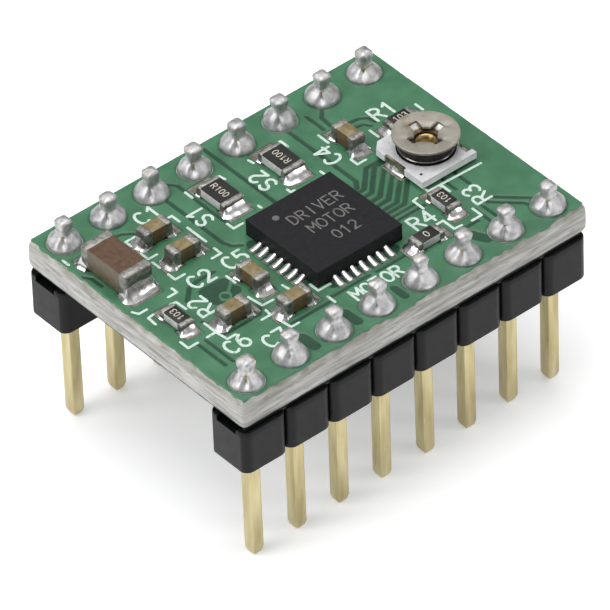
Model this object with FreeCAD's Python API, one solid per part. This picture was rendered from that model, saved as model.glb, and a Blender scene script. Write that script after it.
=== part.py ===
"""Stepper driver module: a small circuit board on two rows of header pins.

Frame: +X along the pin rows, +Y across them, +Z up. The origin is midway between the two rows,
level with the tips of the pins. All sizes are in millimetres.
"""
import FreeCAD, Part
import math
import os

Vector = FreeCAD.Vector
UP = Vector(0, 0, 1)
os.makedirs("parts", exist_ok=True)

# ---------------------------------------------------------------- header pins and housings
pin_pitch = 2.54
pins_per_row = 8
row_spacing = 12.7
pin_side = 0.64
pin_length = 11.6
pin_tip_side = 0.30
pin_foot_taper = 0.50
pin_top_side = 0.42
pin_top_taper = 0.25

housing_bottom = 6.1
housing_height = 2.5
housing_width = 2.54
housing_corner = 0.40
rail_height = 0.25
rail_inset = 0.15
channel_width = 1.30
channel_depth = 0.40

# ---------------------------------------------------------------- board
board_length = 20.4
board_width = 15.2
board_offset_x = 0.14
board_offset_y = 0.13
board_thickness = 1.6
board_corner_radius = 0.35
mask_thickness = 0.05
copper_thickness = 0.035
mask_edge_gap = 0.12
mask_clearance = 0.05
barrel_radius = 0.55
barrel_inner_radius = 0.50
ring_pad_radius = 0.80

board_bottom = housing_bottom + housing_height
board_top = board_bottom + board_thickness
laminate_bottom = board_bottom + mask_thickness
laminate_top = board_top - mask_thickness
pad_top = laminate_top + copper_thickness
solder_gap = 0.03
seat = pad_top + solder_gap

# ---------------------------------------------------------------- through-hole solder
joint_base_radius = 0.77
joint_neck_radius = 0.50
joint_waist_radius = 0.60
joint_waist_height = 0.28
joint_height = 0.85

# ---------------------------------------------------------------- driver chip (leadless square package)
ic_x, ic_y = 0.0, -1.22
ic_side = 5.0
ic_height = 0.88
leads_per_side = 7
lead_pitch = 0.5
lead_width = 0.25
lead_length = 0.40
lead_height = 0.20
ic_pad_reach = 0.60
thermal_pad_side = 3.10
die_length, die_width, die_height = 2.5, 2.2, 0.25
die_pad_pitch = 0.27
die_edge = 0.08
wire_side = 0.03
wire_arch = 0.15

# ---------------------------------------------------------------- chip capacitors and resistors
# Each size class: length, width, height, length of the metal band at each end, reach of the solder
# beyond each end, height of that solder.
chip_1206 = dict(length=3.2, width=1.6, height=1.25, band=0.50, reach=0.45, climb=0.85)
chip_cap_0603 = dict(length=1.6, width=0.8, height=0.8, band=0.40, reach=0.35, climb=0.50)
chip_res_0603 = dict(length=1.6, width=0.8, height=0.45, band=0.30, reach=0.35, climb=0.35)
chip_res_0805 = dict(length=2.0, width=1.25, height=0.5, band=0.32, reach=0.45, climb=0.40)

cap_skin = 0.03
cap_end_plate = 0.05
resistor_skin = 0.03
film_thickness = 0.008
electrode_thickness = 0.012
electrode_end_gap = 0.20
electrode_side_gap = 0.15

# name: size class, centre x, centre y, turn about +Z in degrees
capacitors = {
    "bulk_capacitor": (chip_1206, -8.58, 3.00, 90),
    "supply_capacitor": (chip_cap_0603, -5.70, 3.85, 0),
    "regulator_capacitor": (chip_cap_0603, -5.58, 2.00, 0),
    "charge_pump_capacitor": (chip_cap_0603, -4.37, -1.46, 90),
    "gate_supply_capacitor": (chip_cap_0603, -6.58, -2.71, 0),
    "logic_capacitor": (chip_cap_0603, -4.09, -3.96, 0),
    "reference_capacitor": (chip_cap_0603, 5.10, 3.05, 90),
}
resistors = {
    "sense_resistor_a": (chip_res_0805, -1.76, 3.93, 90),
    "sense_resistor_b": (chip_res_0805, 1.82, 3.88, 90),
    "reference_resistor": (chip_res_0603, 7.70, 2.42, 0),
    "decay_resistor": (chip_res_0603, -8.64, -1.28, 90),
    "limit_resistor": (chip_res_0603, 5.44, -3.20, 90),
    "jumper_resistor": (chip_res_0603, 3.17, -4.58, 0),
}
plates_bulk = 10
plates_small = 6

# ---------------------------------------------------------------- trimmer (surface-mount variable resistor)
rotor_x, rotor_y = 7.15, 0.0
trimmer_x, trimmer_y = 6.975, -0.01
trimmer_length, trimmer_width = 3.27, 3.62
trimmer_corner = 0.42
slab_gap = 0.12
slab_thickness = 0.38
wiper_notch_depth, wiper_notch_width, wiper_notch_offset = 0.15, 1.35, 0.14
end_notch_depth, end_notch_width, end_notch_offset = 0.34, 0.90, 1.04
terminal_thickness = 0.12
terminal_foot = 0.55
foot_thickness = 0.08
terminal_climb = 0.35
terminal_pad_reach = 0.16
track_inner, track_outer = 0.85, 1.40
track_thickness = 0.03
track_gap_angle = 60.0
rotor_clearance = 0.05
rotor_top = 1.37
flange_thickness = 0.12
flange_radius = 1.58
drum_radius = 1.28
slot_length = 1.92
slot_width = 0.50
slot_depth = 0.30
cavity_inner, cavity_outer = 0.62, 1.12
cavity_height = 0.14
rivet_radius = 0.35
rivet_hole_radius = 0.20
rivet_head_radius = 0.46
rivet_head_height = 0.08
running_clearance = 0.03
axial_clearance = 0.02
head_recess_radius = 0.55
head_recess_depth = 0.51
wiper_inner, wiper_outer = 0.70, 1.06
wiper_thickness = 0.05
contact_radius = 0.09
contact_circle = 0.95

slab_bottom = board_top + slab_gap
slab_top = slab_bottom + slab_thickness
track_top = slab_top + track_thickness
rotor_bottom = track_top + rotor_clearance
rotor_top_z = board_top + rotor_top
slot_floor = rotor_top_z - slot_depth
recess_floor = rotor_top_z - head_recess_depth


# ================================================================ helpers
def slab(x0, x1, y0, y1, z0, z1):
    """Box between two opposite corners."""
    return Part.makeBox(x1 - x0, y1 - y0, z1 - z0, Vector(x0, y0, z0))


def block(cx, cy, length, width, z0, z1):
    """Box centred on a point in plan."""
    return slab(cx - length / 2, cx + length / 2, cy - width / 2, cy + width / 2, z0, z1)


def disc(cx, cy, radius, z0, z1):
    return Part.makeCylinder(radius, z1 - z0, Vector(cx, cy, z0))


def ring(cx, cy, inner, outer, z0, z1):
    return disc(cx, cy, outer, z0, z1).cut(disc(cx, cy, inner, z0, z1))


def prism(outline, z0, z1):
    """A closed outline in plan, raised from z0 to z1."""
    points = [Vector(x, y, z0) for x, y in outline]
    face = Part.Face(Part.makePolygon(points + points[:1]))
    return face.extrude(Vector(0, 0, z1 - z0))


def bar(profile, y0, y1):
    """A closed profile of (x, z) points, drawn out along Y."""
    points = [Vector(x, y0, z) for x, z in profile]
    face = Part.Face(Part.makePolygon(points + points[:1]))
    return face.extrude(Vector(0, y1 - y0, 0))


def turned(profile, cx, cy):
    """A closed profile of (radius, z) points, turned about a vertical axis."""
    points = [Vector(cx + r, cy, z) for r, z in profile]
    face = Part.Face(Part.makePolygon(points + points[:1]))
    return face.revolve(Vector(cx, cy, 0), UP, 360)


def square_ring(cx, cy, side, z):
    """A square wire in plan."""
    h = side / 2
    corners = [Vector(cx + sx * h, cy + sy * h, z) for sx, sy in ((-1, -1), (1, -1), (1, 1), (-1, 1))]
    return Part.makePolygon(corners + corners[:1])


def moved(shape, x, y, turn=0.0):
    """A copy turned about +Z at the origin, then moved in plan."""
    copy = shape.copy()
    copy.rotate(Vector(0, 0, 0), UP, turn)
    copy.translate(Vector(x, y, 0))
    return copy


def save(node, *solids):
    """Write one node. Several solids in a node stay separate solids."""
    shape = solids[0] if len(solids) == 1 else Part.makeCompound(list(solids))
    shape.exportStep("parts/" + node + ".step")


# ================================================================ places that several pieces share
pin_xs = [(i - (pins_per_row - 1) / 2) * pin_pitch for i in range(pins_per_row)]
row_ys = {"near": -row_spacing / 2, "far": row_spacing / 2}
pin_places = [(x, y) for y in row_ys.values() for x in pin_xs]
lead_offsets = [(i - (leads_per_side - 1) / 2) * lead_pitch for i in range(leads_per_side)]
chips = {**capacitors, **resistors}

terminal_places = [
    (-1, wiper_notch_offset, wiper_notch_width, wiper_notch_depth),
    (1, -end_notch_offset, end_notch_width, end_notch_depth),
    (1, end_notch_offset, end_notch_width, end_notch_depth),
]


# ================================================================ header rows
def header_pin(x, y):
    stations = [
        (pin_tip_side, 0.0),
        (pin_side, pin_foot_taper),
        (pin_side, pin_length - pin_top_taper),
        (pin_top_side, pin_length),
    ]
    return Part.makeLoft([square_ring(x, y, side, z) for side, z in stations], True, True)


def housing_outline(y, width, corner, end_inset):
    """One octagon per pin, joined side to side, walked along one side and back along the other."""
    half = pin_pitch / 2
    near_side = []
    for x in pin_xs:
        left = x - half + (end_inset if x == pin_xs[0] else 0)
        right = x + half - (end_inset if x == pin_xs[-1] else 0)
        near_side += [(left, corner - width / 2), (left + corner, -width / 2)]
        near_side += [(right - corner, -width / 2), (right, corner - width / 2)]
    whole = near_side + [(x, -v) for x, v in reversed(near_side)]
    return [(x, y + v) for i, (x, v) in enumerate(whole) if (x, v) != whole[i - 1]]


def header_housing(y, pins):
    rail_bottom = board_bottom - rail_height
    base = prism(housing_outline(y, housing_width, housing_corner, 0), housing_bottom, rail_bottom)
    rail_width = housing_width - 2 * rail_inset
    rails = prism(housing_outline(y, rail_width, housing_corner, rail_inset), rail_bottom, board_bottom)
    row_length = pins_per_row * pin_pitch
    channel = block(0, y, row_length, channel_width, board_bottom - channel_depth, board_bottom)
    return base.fuse(rails).cut(channel).removeSplitter().cut(pins)


def header_joint(x, y, pin):
    """Solder that fills the plated hole and climbs the pin in a concave cone."""
    barrel_bottom = laminate_bottom - copper_thickness
    start = Vector(x + joint_base_radius, y, pad_top)
    waist = Vector(x + joint_waist_radius, y, pad_top + joint_waist_height)
    neck = Vector(x + joint_neck_radius, y, pad_top + joint_height)
    foot = [Vector(x, y, barrel_bottom), Vector(x + barrel_inner_radius, y, barrel_bottom)]
    foot += [Vector(x + barrel_inner_radius, y, pad_top), start]
    top = [neck, Vector(x, y, neck.z), foot[0]]
    edges = Part.makePolygon(foot).Edges + [Part.Arc(start, waist, neck).toShape()]
    edges += Part.makePolygon(top).Edges
    return Part.Face(Part.Wire(edges)).revolve(Vector(x, y, 0), UP, 360).cut(pin)


for row, row_y in row_ys.items():
    pins = [header_pin(x, row_y) for x in pin_xs]
    save("header_" + row + "_pins", *pins)
    save("header_" + row + "_housing", header_housing(row_y, pins))
    joints = [header_joint(x, row_y, pin) for x, pin in zip(pin_xs, pins)]
    save("header_" + row + "_solder", *joints)


# ================================================================ copper pads, as (cx, cy, length, width)
def chip_pads(size, cx, cy, turn):
    inner = size["length"] / 2 - size["band"] - mask_clearance
    outer = size["length"] / 2 + size["reach"] + mask_clearance
    pads = []
    for side in (-1, 1):
        middle = side * (inner + outer) / 2
        if turn:
            pads.append((cx, cy + middle, size["width"], outer - inner))
        else:
            pads.append((cx + middle, cy, outer - inner, size["width"]))
    return pads


def ic_pads():
    middle = ic_side / 2 + (ic_pad_reach - lead_length) / 2
    reach = ic_pad_reach + lead_length
    pads = [(ic_x, ic_y, thermal_pad_side, thermal_pad_side)]
    for offset in lead_offsets:
        for side in (-1, 1):
            pads.append((ic_x + side * middle, ic_y + offset, reach, lead_width))
            pads.append((ic_x + offset, ic_y + side * middle, lead_width, reach))
    return pads


def trimmer_pads():
    inner = trimmer_length / 2 - terminal_foot - mask_clearance
    outer = trimmer_length / 2 + terminal_pad_reach
    pads = []
    for side, offset, width, _ in terminal_places:
        middle = trimmer_x + side * (inner + outer) / 2
        pads.append((middle, trimmer_y + offset, outer - inner, width))
    return pads


smd_pads = ic_pads() + trimmer_pads()
for chip_size, chip_x, chip_y, chip_turn in chips.values():
    smd_pads += chip_pads(chip_size, chip_x, chip_y, chip_turn)


# ================================================================ board
def rounded_plate(length, width, radius, z0, z1):
    plate = block(board_offset_x, board_offset_y, length, width, z0, z1)
    uprights = [e for e in plate.Edges if e.BoundBox.ZLength > (z1 - z0) / 2]
    return plate.makeFillet(radius, uprights)


def mask(z0, z1, pads):
    """Solder mask with a round window over each pin and a rectangular one over each pad."""
    length = board_length - 2 * mask_edge_gap
    width = board_width - 2 * mask_edge_gap
    windows = [disc(x, y, ring_pad_radius + mask_clearance, z0, z1) for x, y in pin_places]
    for x, y, pad_length, pad_width in pads:
        windows.append(block(x, y, pad_length + 2 * mask_clearance, pad_width + 2 * mask_clearance, z0, z1))
    return rounded_plate(length, width, board_corner_radius, z0, z1).cut(windows)


laminate = rounded_plate(board_length, board_width, board_corner_radius, laminate_bottom, laminate_top)
drilled = [disc(x, y, barrel_radius, laminate_bottom, laminate_top) for x, y in pin_places]
save("board_laminate", laminate.cut(drilled))
save("solder_mask_top", mask(laminate_top, board_top, smd_pads))
save("solder_mask_bottom", mask(board_bottom, laminate_bottom, []))

barrel_bottom = laminate_bottom - copper_thickness
top_rings = [ring(x, y, barrel_radius, ring_pad_radius, laminate_top, pad_top) for x, y in pin_places]
low_rings = [ring(x, y, barrel_radius, ring_pad_radius, barrel_bottom, laminate_bottom)
             for x, y in pin_places]
flat_pads = [block(x, y, length, width, laminate_top, pad_top) for x, y, length, width in smd_pads]
barrels = [ring(x, y, barrel_inner_radius, barrel_radius, barrel_bottom, pad_top) for x, y in pin_places]
save("copper_pads_top", *top_rings, *flat_pads)
save("copper_pads_bottom", *low_rings)
save("plated_holes", *barrels)


# ================================================================ driver chip
# Its four sides are built at the origin facing +X, then turned.
def four_sides(shapes_on_one_side):
    """The same row of shapes on all four sides of the chip."""
    return [moved(s, ic_x, ic_y, turn) for turn in (0, 90, 180, 270) for s in shapes_on_one_side]


def bond_wire(die_offset, lead_offset):
    """A flat-topped wire from the edge of the die up and out to a lead."""
    die_x = die_length / 2 - die_edge
    lead_x = ic_side / 2 - lead_length + die_edge
    run = math.hypot(lead_x - die_x, lead_offset - die_offset)
    turn = math.degrees(math.atan2(lead_offset - die_offset, lead_x - die_x))
    die_top = seat + lead_height + die_height
    crest = die_top + wire_arch
    lead_top = seat + lead_height
    half = wire_side / 2
    profile = [
        (-half, die_top), (half, die_top), (half, crest - wire_side), (run - half, crest - wire_side),
        (run - half, lead_top), (run + half, lead_top), (run + half, crest), (-half, crest),
    ]
    wire = bar(profile, -half, half)
    return moved(wire, die_x, die_offset, turn)


body_half = ic_side / 2
body = block(0, 0, ic_side, ic_side, seat, seat + ic_height)
body.translate(Vector(ic_x, ic_y, 0))
lead_row = [slab(body_half - lead_length, body_half, v - lead_width / 2, v + lead_width / 2, seat,
                 seat + lead_height) for v in lead_offsets]
leads = four_sides(lead_row)
thermal_pad = block(ic_x, ic_y, thermal_pad_side, thermal_pad_side, seat, seat + lead_height)
die = block(ic_x, ic_y, die_length, die_width, seat + lead_height, seat + lead_height + die_height)
wire_row = [bond_wire(v / lead_pitch * die_pad_pitch, v) for v in lead_offsets]
wires = four_sides(wire_row)
save("driver_ic_body", body.cut(leads + [thermal_pad, die]).cut(wires))
save("driver_ic_leads", *leads)
save("driver_ic_thermal_pad", thermal_pad)
save("driver_ic_die", die)
save("driver_ic_bond_wires", *wires)


# ================================================================ two-ended chips
# They are built along X at the origin, then placed.
def end_caps(size, core):
    """The metal at both ends of a chip: a block over each end, less the core that it wraps."""
    half = size["length"] / 2
    caps = []
    for side in (-1, 1):
        middle = side * (half - size["band"] / 2)
        cap = block(middle, 0, size["band"], size["width"], seat, seat + size["height"])
        caps.append(cap.cut(core))
    return caps


def chip_fillets(size):
    """Solder under each end of a chip, rising in a wedge outside it."""
    half = size["length"] / 2
    inner = half - size["band"]
    outer = half + size["reach"]
    top = seat + size["climb"]
    right = [(inner, pad_top), (outer, pad_top), (half, top), (half, seat), (inner, seat)]
    left = [(-x, z) for x, z in reversed(right)]
    inset = size["width"] / 2 - mask_clearance
    return [bar(profile, -inset, inset) for profile in (left, right)]


def capacitor(size, plate_count):
    """Ceramic block, its end caps, and the plates inside that reach one end or the other."""
    half = size["length"] / 2 - cap_end_plate
    ceramic = slab(-half, half, cap_skin - size["width"] / 2, size["width"] / 2 - cap_skin, seat + cap_skin,
                   seat + size["height"] - cap_skin)
    caps = end_caps(size, ceramic)
    spacing = (size["height"] - 2 * cap_skin) / (plate_count + 1)
    plate_half_width = size["width"] / 2 - electrode_side_gap
    plates = []
    for i in range(plate_count):
        z = seat + cap_skin + (i + 1) * spacing
        x0 = -half if i % 2 else electrode_end_gap - half
        x1 = half - electrode_end_gap if i % 2 else half
        plates.append(slab(x0, x1, -plate_half_width, plate_half_width, z, z + electrode_thickness))
    return ceramic.cut(plates), caps, plates


def resistor(size):
    """Ceramic substrate, wrap-round ends, and the film under its overcoat."""
    half = size["length"] / 2 - resistor_skin
    film_half = size["length"] / 2 - size["band"]
    width = size["width"]
    under = seat + resistor_skin
    over = seat + size["height"] - resistor_skin
    substrate = slab(-half, half, -width / 2, width / 2, under, over)
    ends = end_caps(size, substrate)
    film = block(0, 0, 2 * film_half, width - 2 * electrode_side_gap, over, over + film_thickness)
    overcoat = block(0, 0, 2 * film_half, width, over, seat + size["height"]).cut(film)
    return substrate, ends, film, overcoat


smd_solder = []
small_plates = []
films = []
for name, (chip_size, chip_x, chip_y, chip_turn) in capacitors.items():
    is_bulk = chip_size is chip_1206
    ceramic, caps, plates = capacitor(chip_size, plates_bulk if is_bulk else plates_small)
    placed = [moved(plate, chip_x, chip_y, chip_turn) for plate in plates]
    save(name + "_ceramic", moved(ceramic, chip_x, chip_y, chip_turn))
    save(name + "_ends", *[moved(cap, chip_x, chip_y, chip_turn) for cap in caps])
    smd_solder += [moved(s, chip_x, chip_y, chip_turn) for s in chip_fillets(chip_size)]
    if is_bulk:
        save("bulk_capacitor_plates", *placed)
    else:
        small_plates += placed
for name, (chip_size, chip_x, chip_y, chip_turn) in resistors.items():
    substrate, ends, film, overcoat = resistor(chip_size)
    save(name + "_substrate", moved(substrate, chip_x, chip_y, chip_turn))
    save(name + "_ends", *[moved(end, chip_x, chip_y, chip_turn) for end in ends])
    save(name + "_overcoat", moved(overcoat, chip_x, chip_y, chip_turn))
    films.append(moved(film, chip_x, chip_y, chip_turn))
    smd_solder += [moved(s, chip_x, chip_y, chip_turn) for s in chip_fillets(chip_size)]
save("small_capacitor_plates", *small_plates)
save("resistor_films", *films)


# ================================================================ trimmer
# The slab and its terminals are built about the slab's middle, the rest about the rotor's axis, then placed.
def trimmer_slab():
    """Ceramic slab with one corner cut off and a notch for each terminal, bored for the rivet."""
    hx, hy = trimmer_length / 2, trimmer_width / 2
    outline = [(-hx, -hy), (hx, -hy), (hx, hy), (trimmer_corner - hx, hy), (-hx, hy - trimmer_corner)]
    notches = []
    for side, offset, width, depth in terminal_places:
        notches.append(block(side * (hx - depth / 2), offset, depth, width, slab_bottom, slab_top))
    bore = disc(rotor_x - trimmer_x, rotor_y - trimmer_y, rivet_radius, slab_bottom, slab_top)
    return prism(outline, slab_bottom, slab_top).cut(notches + [bore])


def terminal(side, offset, width, depth):
    """A metal clip: a foot under the slab and a leg up its notch."""
    hx = trimmer_length / 2
    wall = hx - depth
    foot_z = slab_bottom - foot_thickness
    profile = [
        (hx - terminal_foot, foot_z), (wall + terminal_thickness, foot_z),
        (wall + terminal_thickness, slab_top), (wall, slab_top), (wall, slab_bottom),
        (hx - terminal_foot, slab_bottom),
    ]
    if side < 0:
        profile = [(-x, z) for x, z in reversed(profile)]
    inset = width / 2 - mask_clearance
    return bar(profile, offset - inset, offset + inset)


def terminal_solder(side, offset, width, depth):
    """Solder under a clip's foot, rising outside its leg."""
    hx = trimmer_length / 2
    leg = hx - depth + terminal_thickness
    foot_z = slab_bottom - foot_thickness
    profile = [
        (hx - terminal_foot, pad_top), (hx + terminal_pad_reach - mask_clearance, pad_top),
        (leg, foot_z + terminal_climb), (leg, foot_z), (hx - terminal_foot, foot_z),
    ]
    if side < 0:
        profile = [(-x, z) for x, z in reversed(profile)]
    inset = width / 2 - 2 * mask_clearance
    return bar(profile, offset - inset, offset + inset)


def resistive_track():
    """A ring of resistive ink, open towards the two end terminals."""
    half_angle = math.radians(track_gap_angle / 2)
    reach = 2 * track_outer
    edge = reach * math.tan(half_angle)
    opening = prism([(0, 0), (reach, -edge), (reach, edge)], slab_top, track_top)
    return ring(0, 0, track_inner, track_outer, slab_top, track_top).cut(opening)


def rotor():
    """Flanged drum with a cross slot, a deeper recess for the rivet's head, and a hollow for the wiper."""
    bore = rivet_radius + running_clearance
    roof = rotor_bottom + cavity_height
    flange_bottom = rotor_top_z - flange_thickness
    profile = [
        (bore, rotor_bottom), (cavity_inner, rotor_bottom), (cavity_inner, roof), (cavity_outer, roof),
        (cavity_outer, rotor_bottom), (drum_radius, rotor_bottom), (drum_radius, flange_bottom),
        (flange_radius, flange_bottom), (flange_radius, rotor_top_z), (head_recess_radius, rotor_top_z),
        (head_recess_radius, recess_floor), (bore, recess_floor),
    ]
    arms = [
        block(0, 0, slot_length, slot_width, slot_floor, rotor_top_z),
        block(0, 0, slot_width, slot_length, slot_floor, rotor_top_z),
    ]
    return turned(profile, 0, 0).cut(arms)


def wiper():
    """Spring washer under the rotor's roof, with two contacts that reach down to the track."""
    roof = rotor_bottom + cavity_height
    washer = ring(0, 0, wiper_inner, wiper_outer, roof - wiper_thickness, roof)
    contact_foot = track_top + axial_clearance
    for side in (-1, 1):
        contact = disc(side * contact_circle, 0, contact_radius, contact_foot, roof - wiper_thickness)
        washer = washer.fuse(contact)
    return washer


def rivet():
    """Hollow rivet through the slab, spread under it and over the rotor's recess floor."""
    head_bottom = recess_floor + axial_clearance
    head_top = head_bottom + rivet_head_height
    foot_z = slab_bottom - rivet_head_height
    profile = [
        (rivet_hole_radius, foot_z), (rivet_head_radius, foot_z), (rivet_head_radius, slab_bottom),
        (rivet_radius, slab_bottom), (rivet_radius, head_bottom), (rivet_head_radius, head_bottom),
        (rivet_head_radius, head_top), (rivet_hole_radius, head_top),
    ]
    return turned(profile, 0, 0)


wiper_place, *end_places = terminal_places
save("trimmer_slab", moved(trimmer_slab(), trimmer_x, trimmer_y))
save("trimmer_track", moved(resistive_track(), rotor_x, rotor_y))
save("trimmer_wiper_terminal", moved(terminal(*wiper_place), trimmer_x, trimmer_y))
save("trimmer_end_terminals", *[moved(terminal(*place), trimmer_x, trimmer_y) for place in end_places])
save("trimmer_rivet", moved(rivet(), rotor_x, rotor_y))
save("trimmer_rotor", moved(rotor(), rotor_x, rotor_y))
save("trimmer_wiper", moved(wiper(), rotor_x, rotor_y))
smd_solder += [moved(terminal_solder(*place), trimmer_x, trimmer_y) for place in terminal_places]


# ================================================================ solder on the chip's leads and thermal pad
def lead_fillet(offset):
    """Solder under a lead and out along its pad, with a low wedge against the lead's face."""
    inner = body_half - lead_length
    outer = body_half + ic_pad_reach - mask_clearance
    profile = [
        (inner, pad_top), (outer, pad_top), (body_half, seat + lead_height), (body_half, seat), (inner, seat),
    ]
    return bar(profile, offset - lead_width / 2, offset + lead_width / 2)


smd_solder += four_sides([lead_fillet(v) for v in lead_offsets])
smd_solder.append(block(ic_x, ic_y, thermal_pad_side, thermal_pad_side, pad_top, seat))
save("smd_solder", *smd_solder)
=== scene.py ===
import math
import random

import bmesh
import bpy
import numpy as np
from mathutils import Matrix, Vector, noise
from mathutils.geometry import delaunay_2d_cdt


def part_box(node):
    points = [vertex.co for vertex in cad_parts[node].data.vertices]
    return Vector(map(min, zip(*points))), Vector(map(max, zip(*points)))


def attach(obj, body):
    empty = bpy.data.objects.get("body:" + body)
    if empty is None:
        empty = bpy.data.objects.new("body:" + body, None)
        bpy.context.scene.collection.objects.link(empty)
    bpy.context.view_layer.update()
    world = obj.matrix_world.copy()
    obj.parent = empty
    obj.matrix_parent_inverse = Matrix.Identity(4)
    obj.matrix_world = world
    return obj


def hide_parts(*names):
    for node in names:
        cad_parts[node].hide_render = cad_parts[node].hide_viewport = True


# Lengths in this file are millimetres in the row frame; MM turns them into Blender's metres.
MM = 0.001

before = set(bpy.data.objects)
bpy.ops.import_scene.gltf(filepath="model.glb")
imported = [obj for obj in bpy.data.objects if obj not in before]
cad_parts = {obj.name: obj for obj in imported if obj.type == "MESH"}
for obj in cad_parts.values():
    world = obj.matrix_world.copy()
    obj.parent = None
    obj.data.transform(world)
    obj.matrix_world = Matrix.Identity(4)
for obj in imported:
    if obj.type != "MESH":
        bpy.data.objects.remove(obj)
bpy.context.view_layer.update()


# ================================================================ places read from the frame
def box(node):
    """Lowest and highest corner of a CAD node."""
    low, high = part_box(node)
    return low / MM, high / MM


def islands(node):
    """The boxes of the separate solids in a CAD node, from the lowest x and y up."""
    work = bmesh.new()
    work.from_mesh(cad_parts[node].data)
    bmesh.ops.remove_doubles(work, verts=work.verts, dist=0.001 * MM)
    found, seen = [], set()
    for first in work.verts:
        if first in seen:
            continue
        seen.add(first)
        group, waiting = [], [first]
        while waiting:
            vertex = waiting.pop()
            group.append(vertex.co / MM)
            for edge in vertex.link_edges:
                other = edge.other_vert(vertex)
                if other not in seen:
                    seen.add(other)
                    waiting.append(other)
        points = np.array(group)
        found.append((Vector(points.min(axis=0)), Vector(points.max(axis=0))))
    work.free()
    return sorted(found, key=lambda pair: (round(pair[0].x, 2), round(pair[0].y, 2)))


BOARD_TOP = box("solder_mask_top")[1].z
LAMINATE_LOW, LAMINATE_HIGH = box("board_laminate")
BOARD_BOTTOM = box("solder_mask_bottom")[0].z
PAD_TOP = box("copper_pads_top")[1].z
PIN_BOXES = {row: islands("header_" + row + "_pins") for row in ("near", "far")}
PINS = {row: [(low + high) / 2 for low, high in boxes] for row, boxes in PIN_BOXES.items()}
PIN_SIDE = PIN_BOXES["near"][0][1].x - PIN_BOXES["near"][0][0].x
PIN_PITCH = PINS["near"][1].x - PINS["near"][0].x


# ================================================================ mesh making
class Shape:
    """Points and faces of one piece. level is a number per point that its material may read."""

    def __init__(self, place=Matrix.Identity(4)):
        self.points = []
        self.faces = []
        self.levels = []
        self.place = place

    def add(self, points, faces, level=0.0):
        start = len(self.points)
        self.points += [self.place @ Vector(point) for point in points]
        self.faces += [tuple(start + int(i) for i in face) for face in faces]
        self.levels += list(level) if hasattr(level, "__len__") else [level] * len(points)


# Edges shorter than this, in metres, are closed up.
NO_LENGTH = 2e-8


def piece(name, shape, finish, replaces=(), body="board", smooth=38.0):
    """Turns a shape into a Blender object that rides on a body and stands for some CAD nodes."""
    mesh = bpy.data.meshes.new(name)
    mesh.from_pydata([point * MM for point in shape.points], [], shape.faces)
    mesh.attributes.new("level", "FLOAT", "POINT").data.foreach_set("value", shape.levels)
    work = bmesh.new()
    work.from_mesh(mesh)
    bmesh.ops.dissolve_degenerate(work, dist=NO_LENGTH, edges=work.edges)
    bmesh.ops.recalc_face_normals(work, faces=work.faces)
    work.to_mesh(mesh)
    work.free()
    mesh.shade_smooth()
    mesh.set_sharp_from_angle(angle=math.radians(smooth))
    mesh.materials.append(FINISHES[finish])
    made = bpy.data.objects.new(name, mesh)
    bpy.context.scene.collection.objects.link(made)
    shading = made.modifiers.new("even_shading", "WEIGHTED_NORMAL")
    shading.keep_sharp = True
    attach(made, body)
    if replaces:
        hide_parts(*replaces)


def loft(shape, rings, level=0.0, closed=False):
    """A skin over rings of equally many points: capped at both ends, or joined end to end."""
    count = len(rings[0])
    links = list(zip(range(len(rings) - 1), range(1, len(rings))))
    if closed:
        links.append((len(rings) - 1, 0))
    faces = []
    for low, high in links:
        for i in range(count):
            j = (i + 1) % count
            faces.append((low * count + i, low * count + j, high * count + j, high * count + i))
    if not closed:
        faces.append(tuple(reversed(range(count))))
        faces.append(tuple(range((len(rings) - 1) * count, len(rings) * count)))
    shape.add([point for ring in rings for point in ring], faces, level)


def circle(x, y, radius, steps):
    """Points round a circle, counter-clockwise."""
    turns = [2 * math.pi * i / steps for i in range(steps)]
    return [Vector((x + radius * math.cos(t), y + radius * math.sin(t))) for t in turns]


def rectangle(x0, y0, x1, y1):
    """Corners of a rectangle, counter-clockwise."""
    return [Vector(corner) for corner in ((x0, y0), (x1, y0), (x1, y1), (x0, y1))]


def rounded(outline, radius, steps):
    """The outline with a curve in place of each corner."""
    result = []
    for i, corner in enumerate(outline):
        before = outline[i - 1] - corner
        after = outline[(i + 1) % len(outline)] - corner
        half_angle = before.angle(after) / 2
        cut = min(radius / math.tan(half_angle), 0.45 * before.length, 0.45 * after.length)
        start = corner + before.normalized() * cut
        end = corner + after.normalized() * cut
        for step in range(steps + 1):
            t = step / steps
            result.append(start * (1 - t) ** 2 + corner * 2 * t * (1 - t) + end * t * t)
    return result


def inset(outline, distance):
    """A counter-clockwise outline drawn in by a distance."""
    result = []
    for i, point in enumerate(outline):
        before = (point - outline[i - 1]).normalized()
        after = (outline[(i + 1) % len(outline)] - point).normalized()
        inwards = [Vector((-along.y, along.x)) for along in (before, after)]
        stretch = distance / max(0.25, 1 + inwards[0].dot(inwards[1]))
        result.append(point + (inwards[0] + inwards[1]) * stretch)
    return result


def prism(shape, outline, levels, level=0.0):
    """A plate over an outline. Each level is a height and how far the outline is drawn in there."""
    rings = [[(p.x, p.y, z) for p in inset(outline, drawn_in)] for z, drawn_in in levels]
    loft(shape, rings, level)


def turned(shape, x, y, profile, steps):
    """A solid profile of (radius, height) turned about an upright axis."""
    loft(shape, [[(p.x, p.y, z) for p in circle(x, y, radius, steps)] for radius, z in profile])


def contains(loop, plan):
    """Which points of a plan lie inside a closed loop."""
    corners = np.array([tuple(p) for p in loop])
    following = np.roll(corners, -1, axis=0)
    inside = np.zeros(len(plan), bool)
    for (x0, y0), (x1, y1) in zip(corners, following):
        if y0 == y1:
            continue
        crosses = (y0 > plan[:, 1]) != (y1 > plan[:, 1])
        x_there = x0 + (plan[:, 1] - y0) * (x1 - x0) / (y1 - y0)
        inside ^= crosses & (plan[:, 0] < x_there)
    return inside


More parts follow.
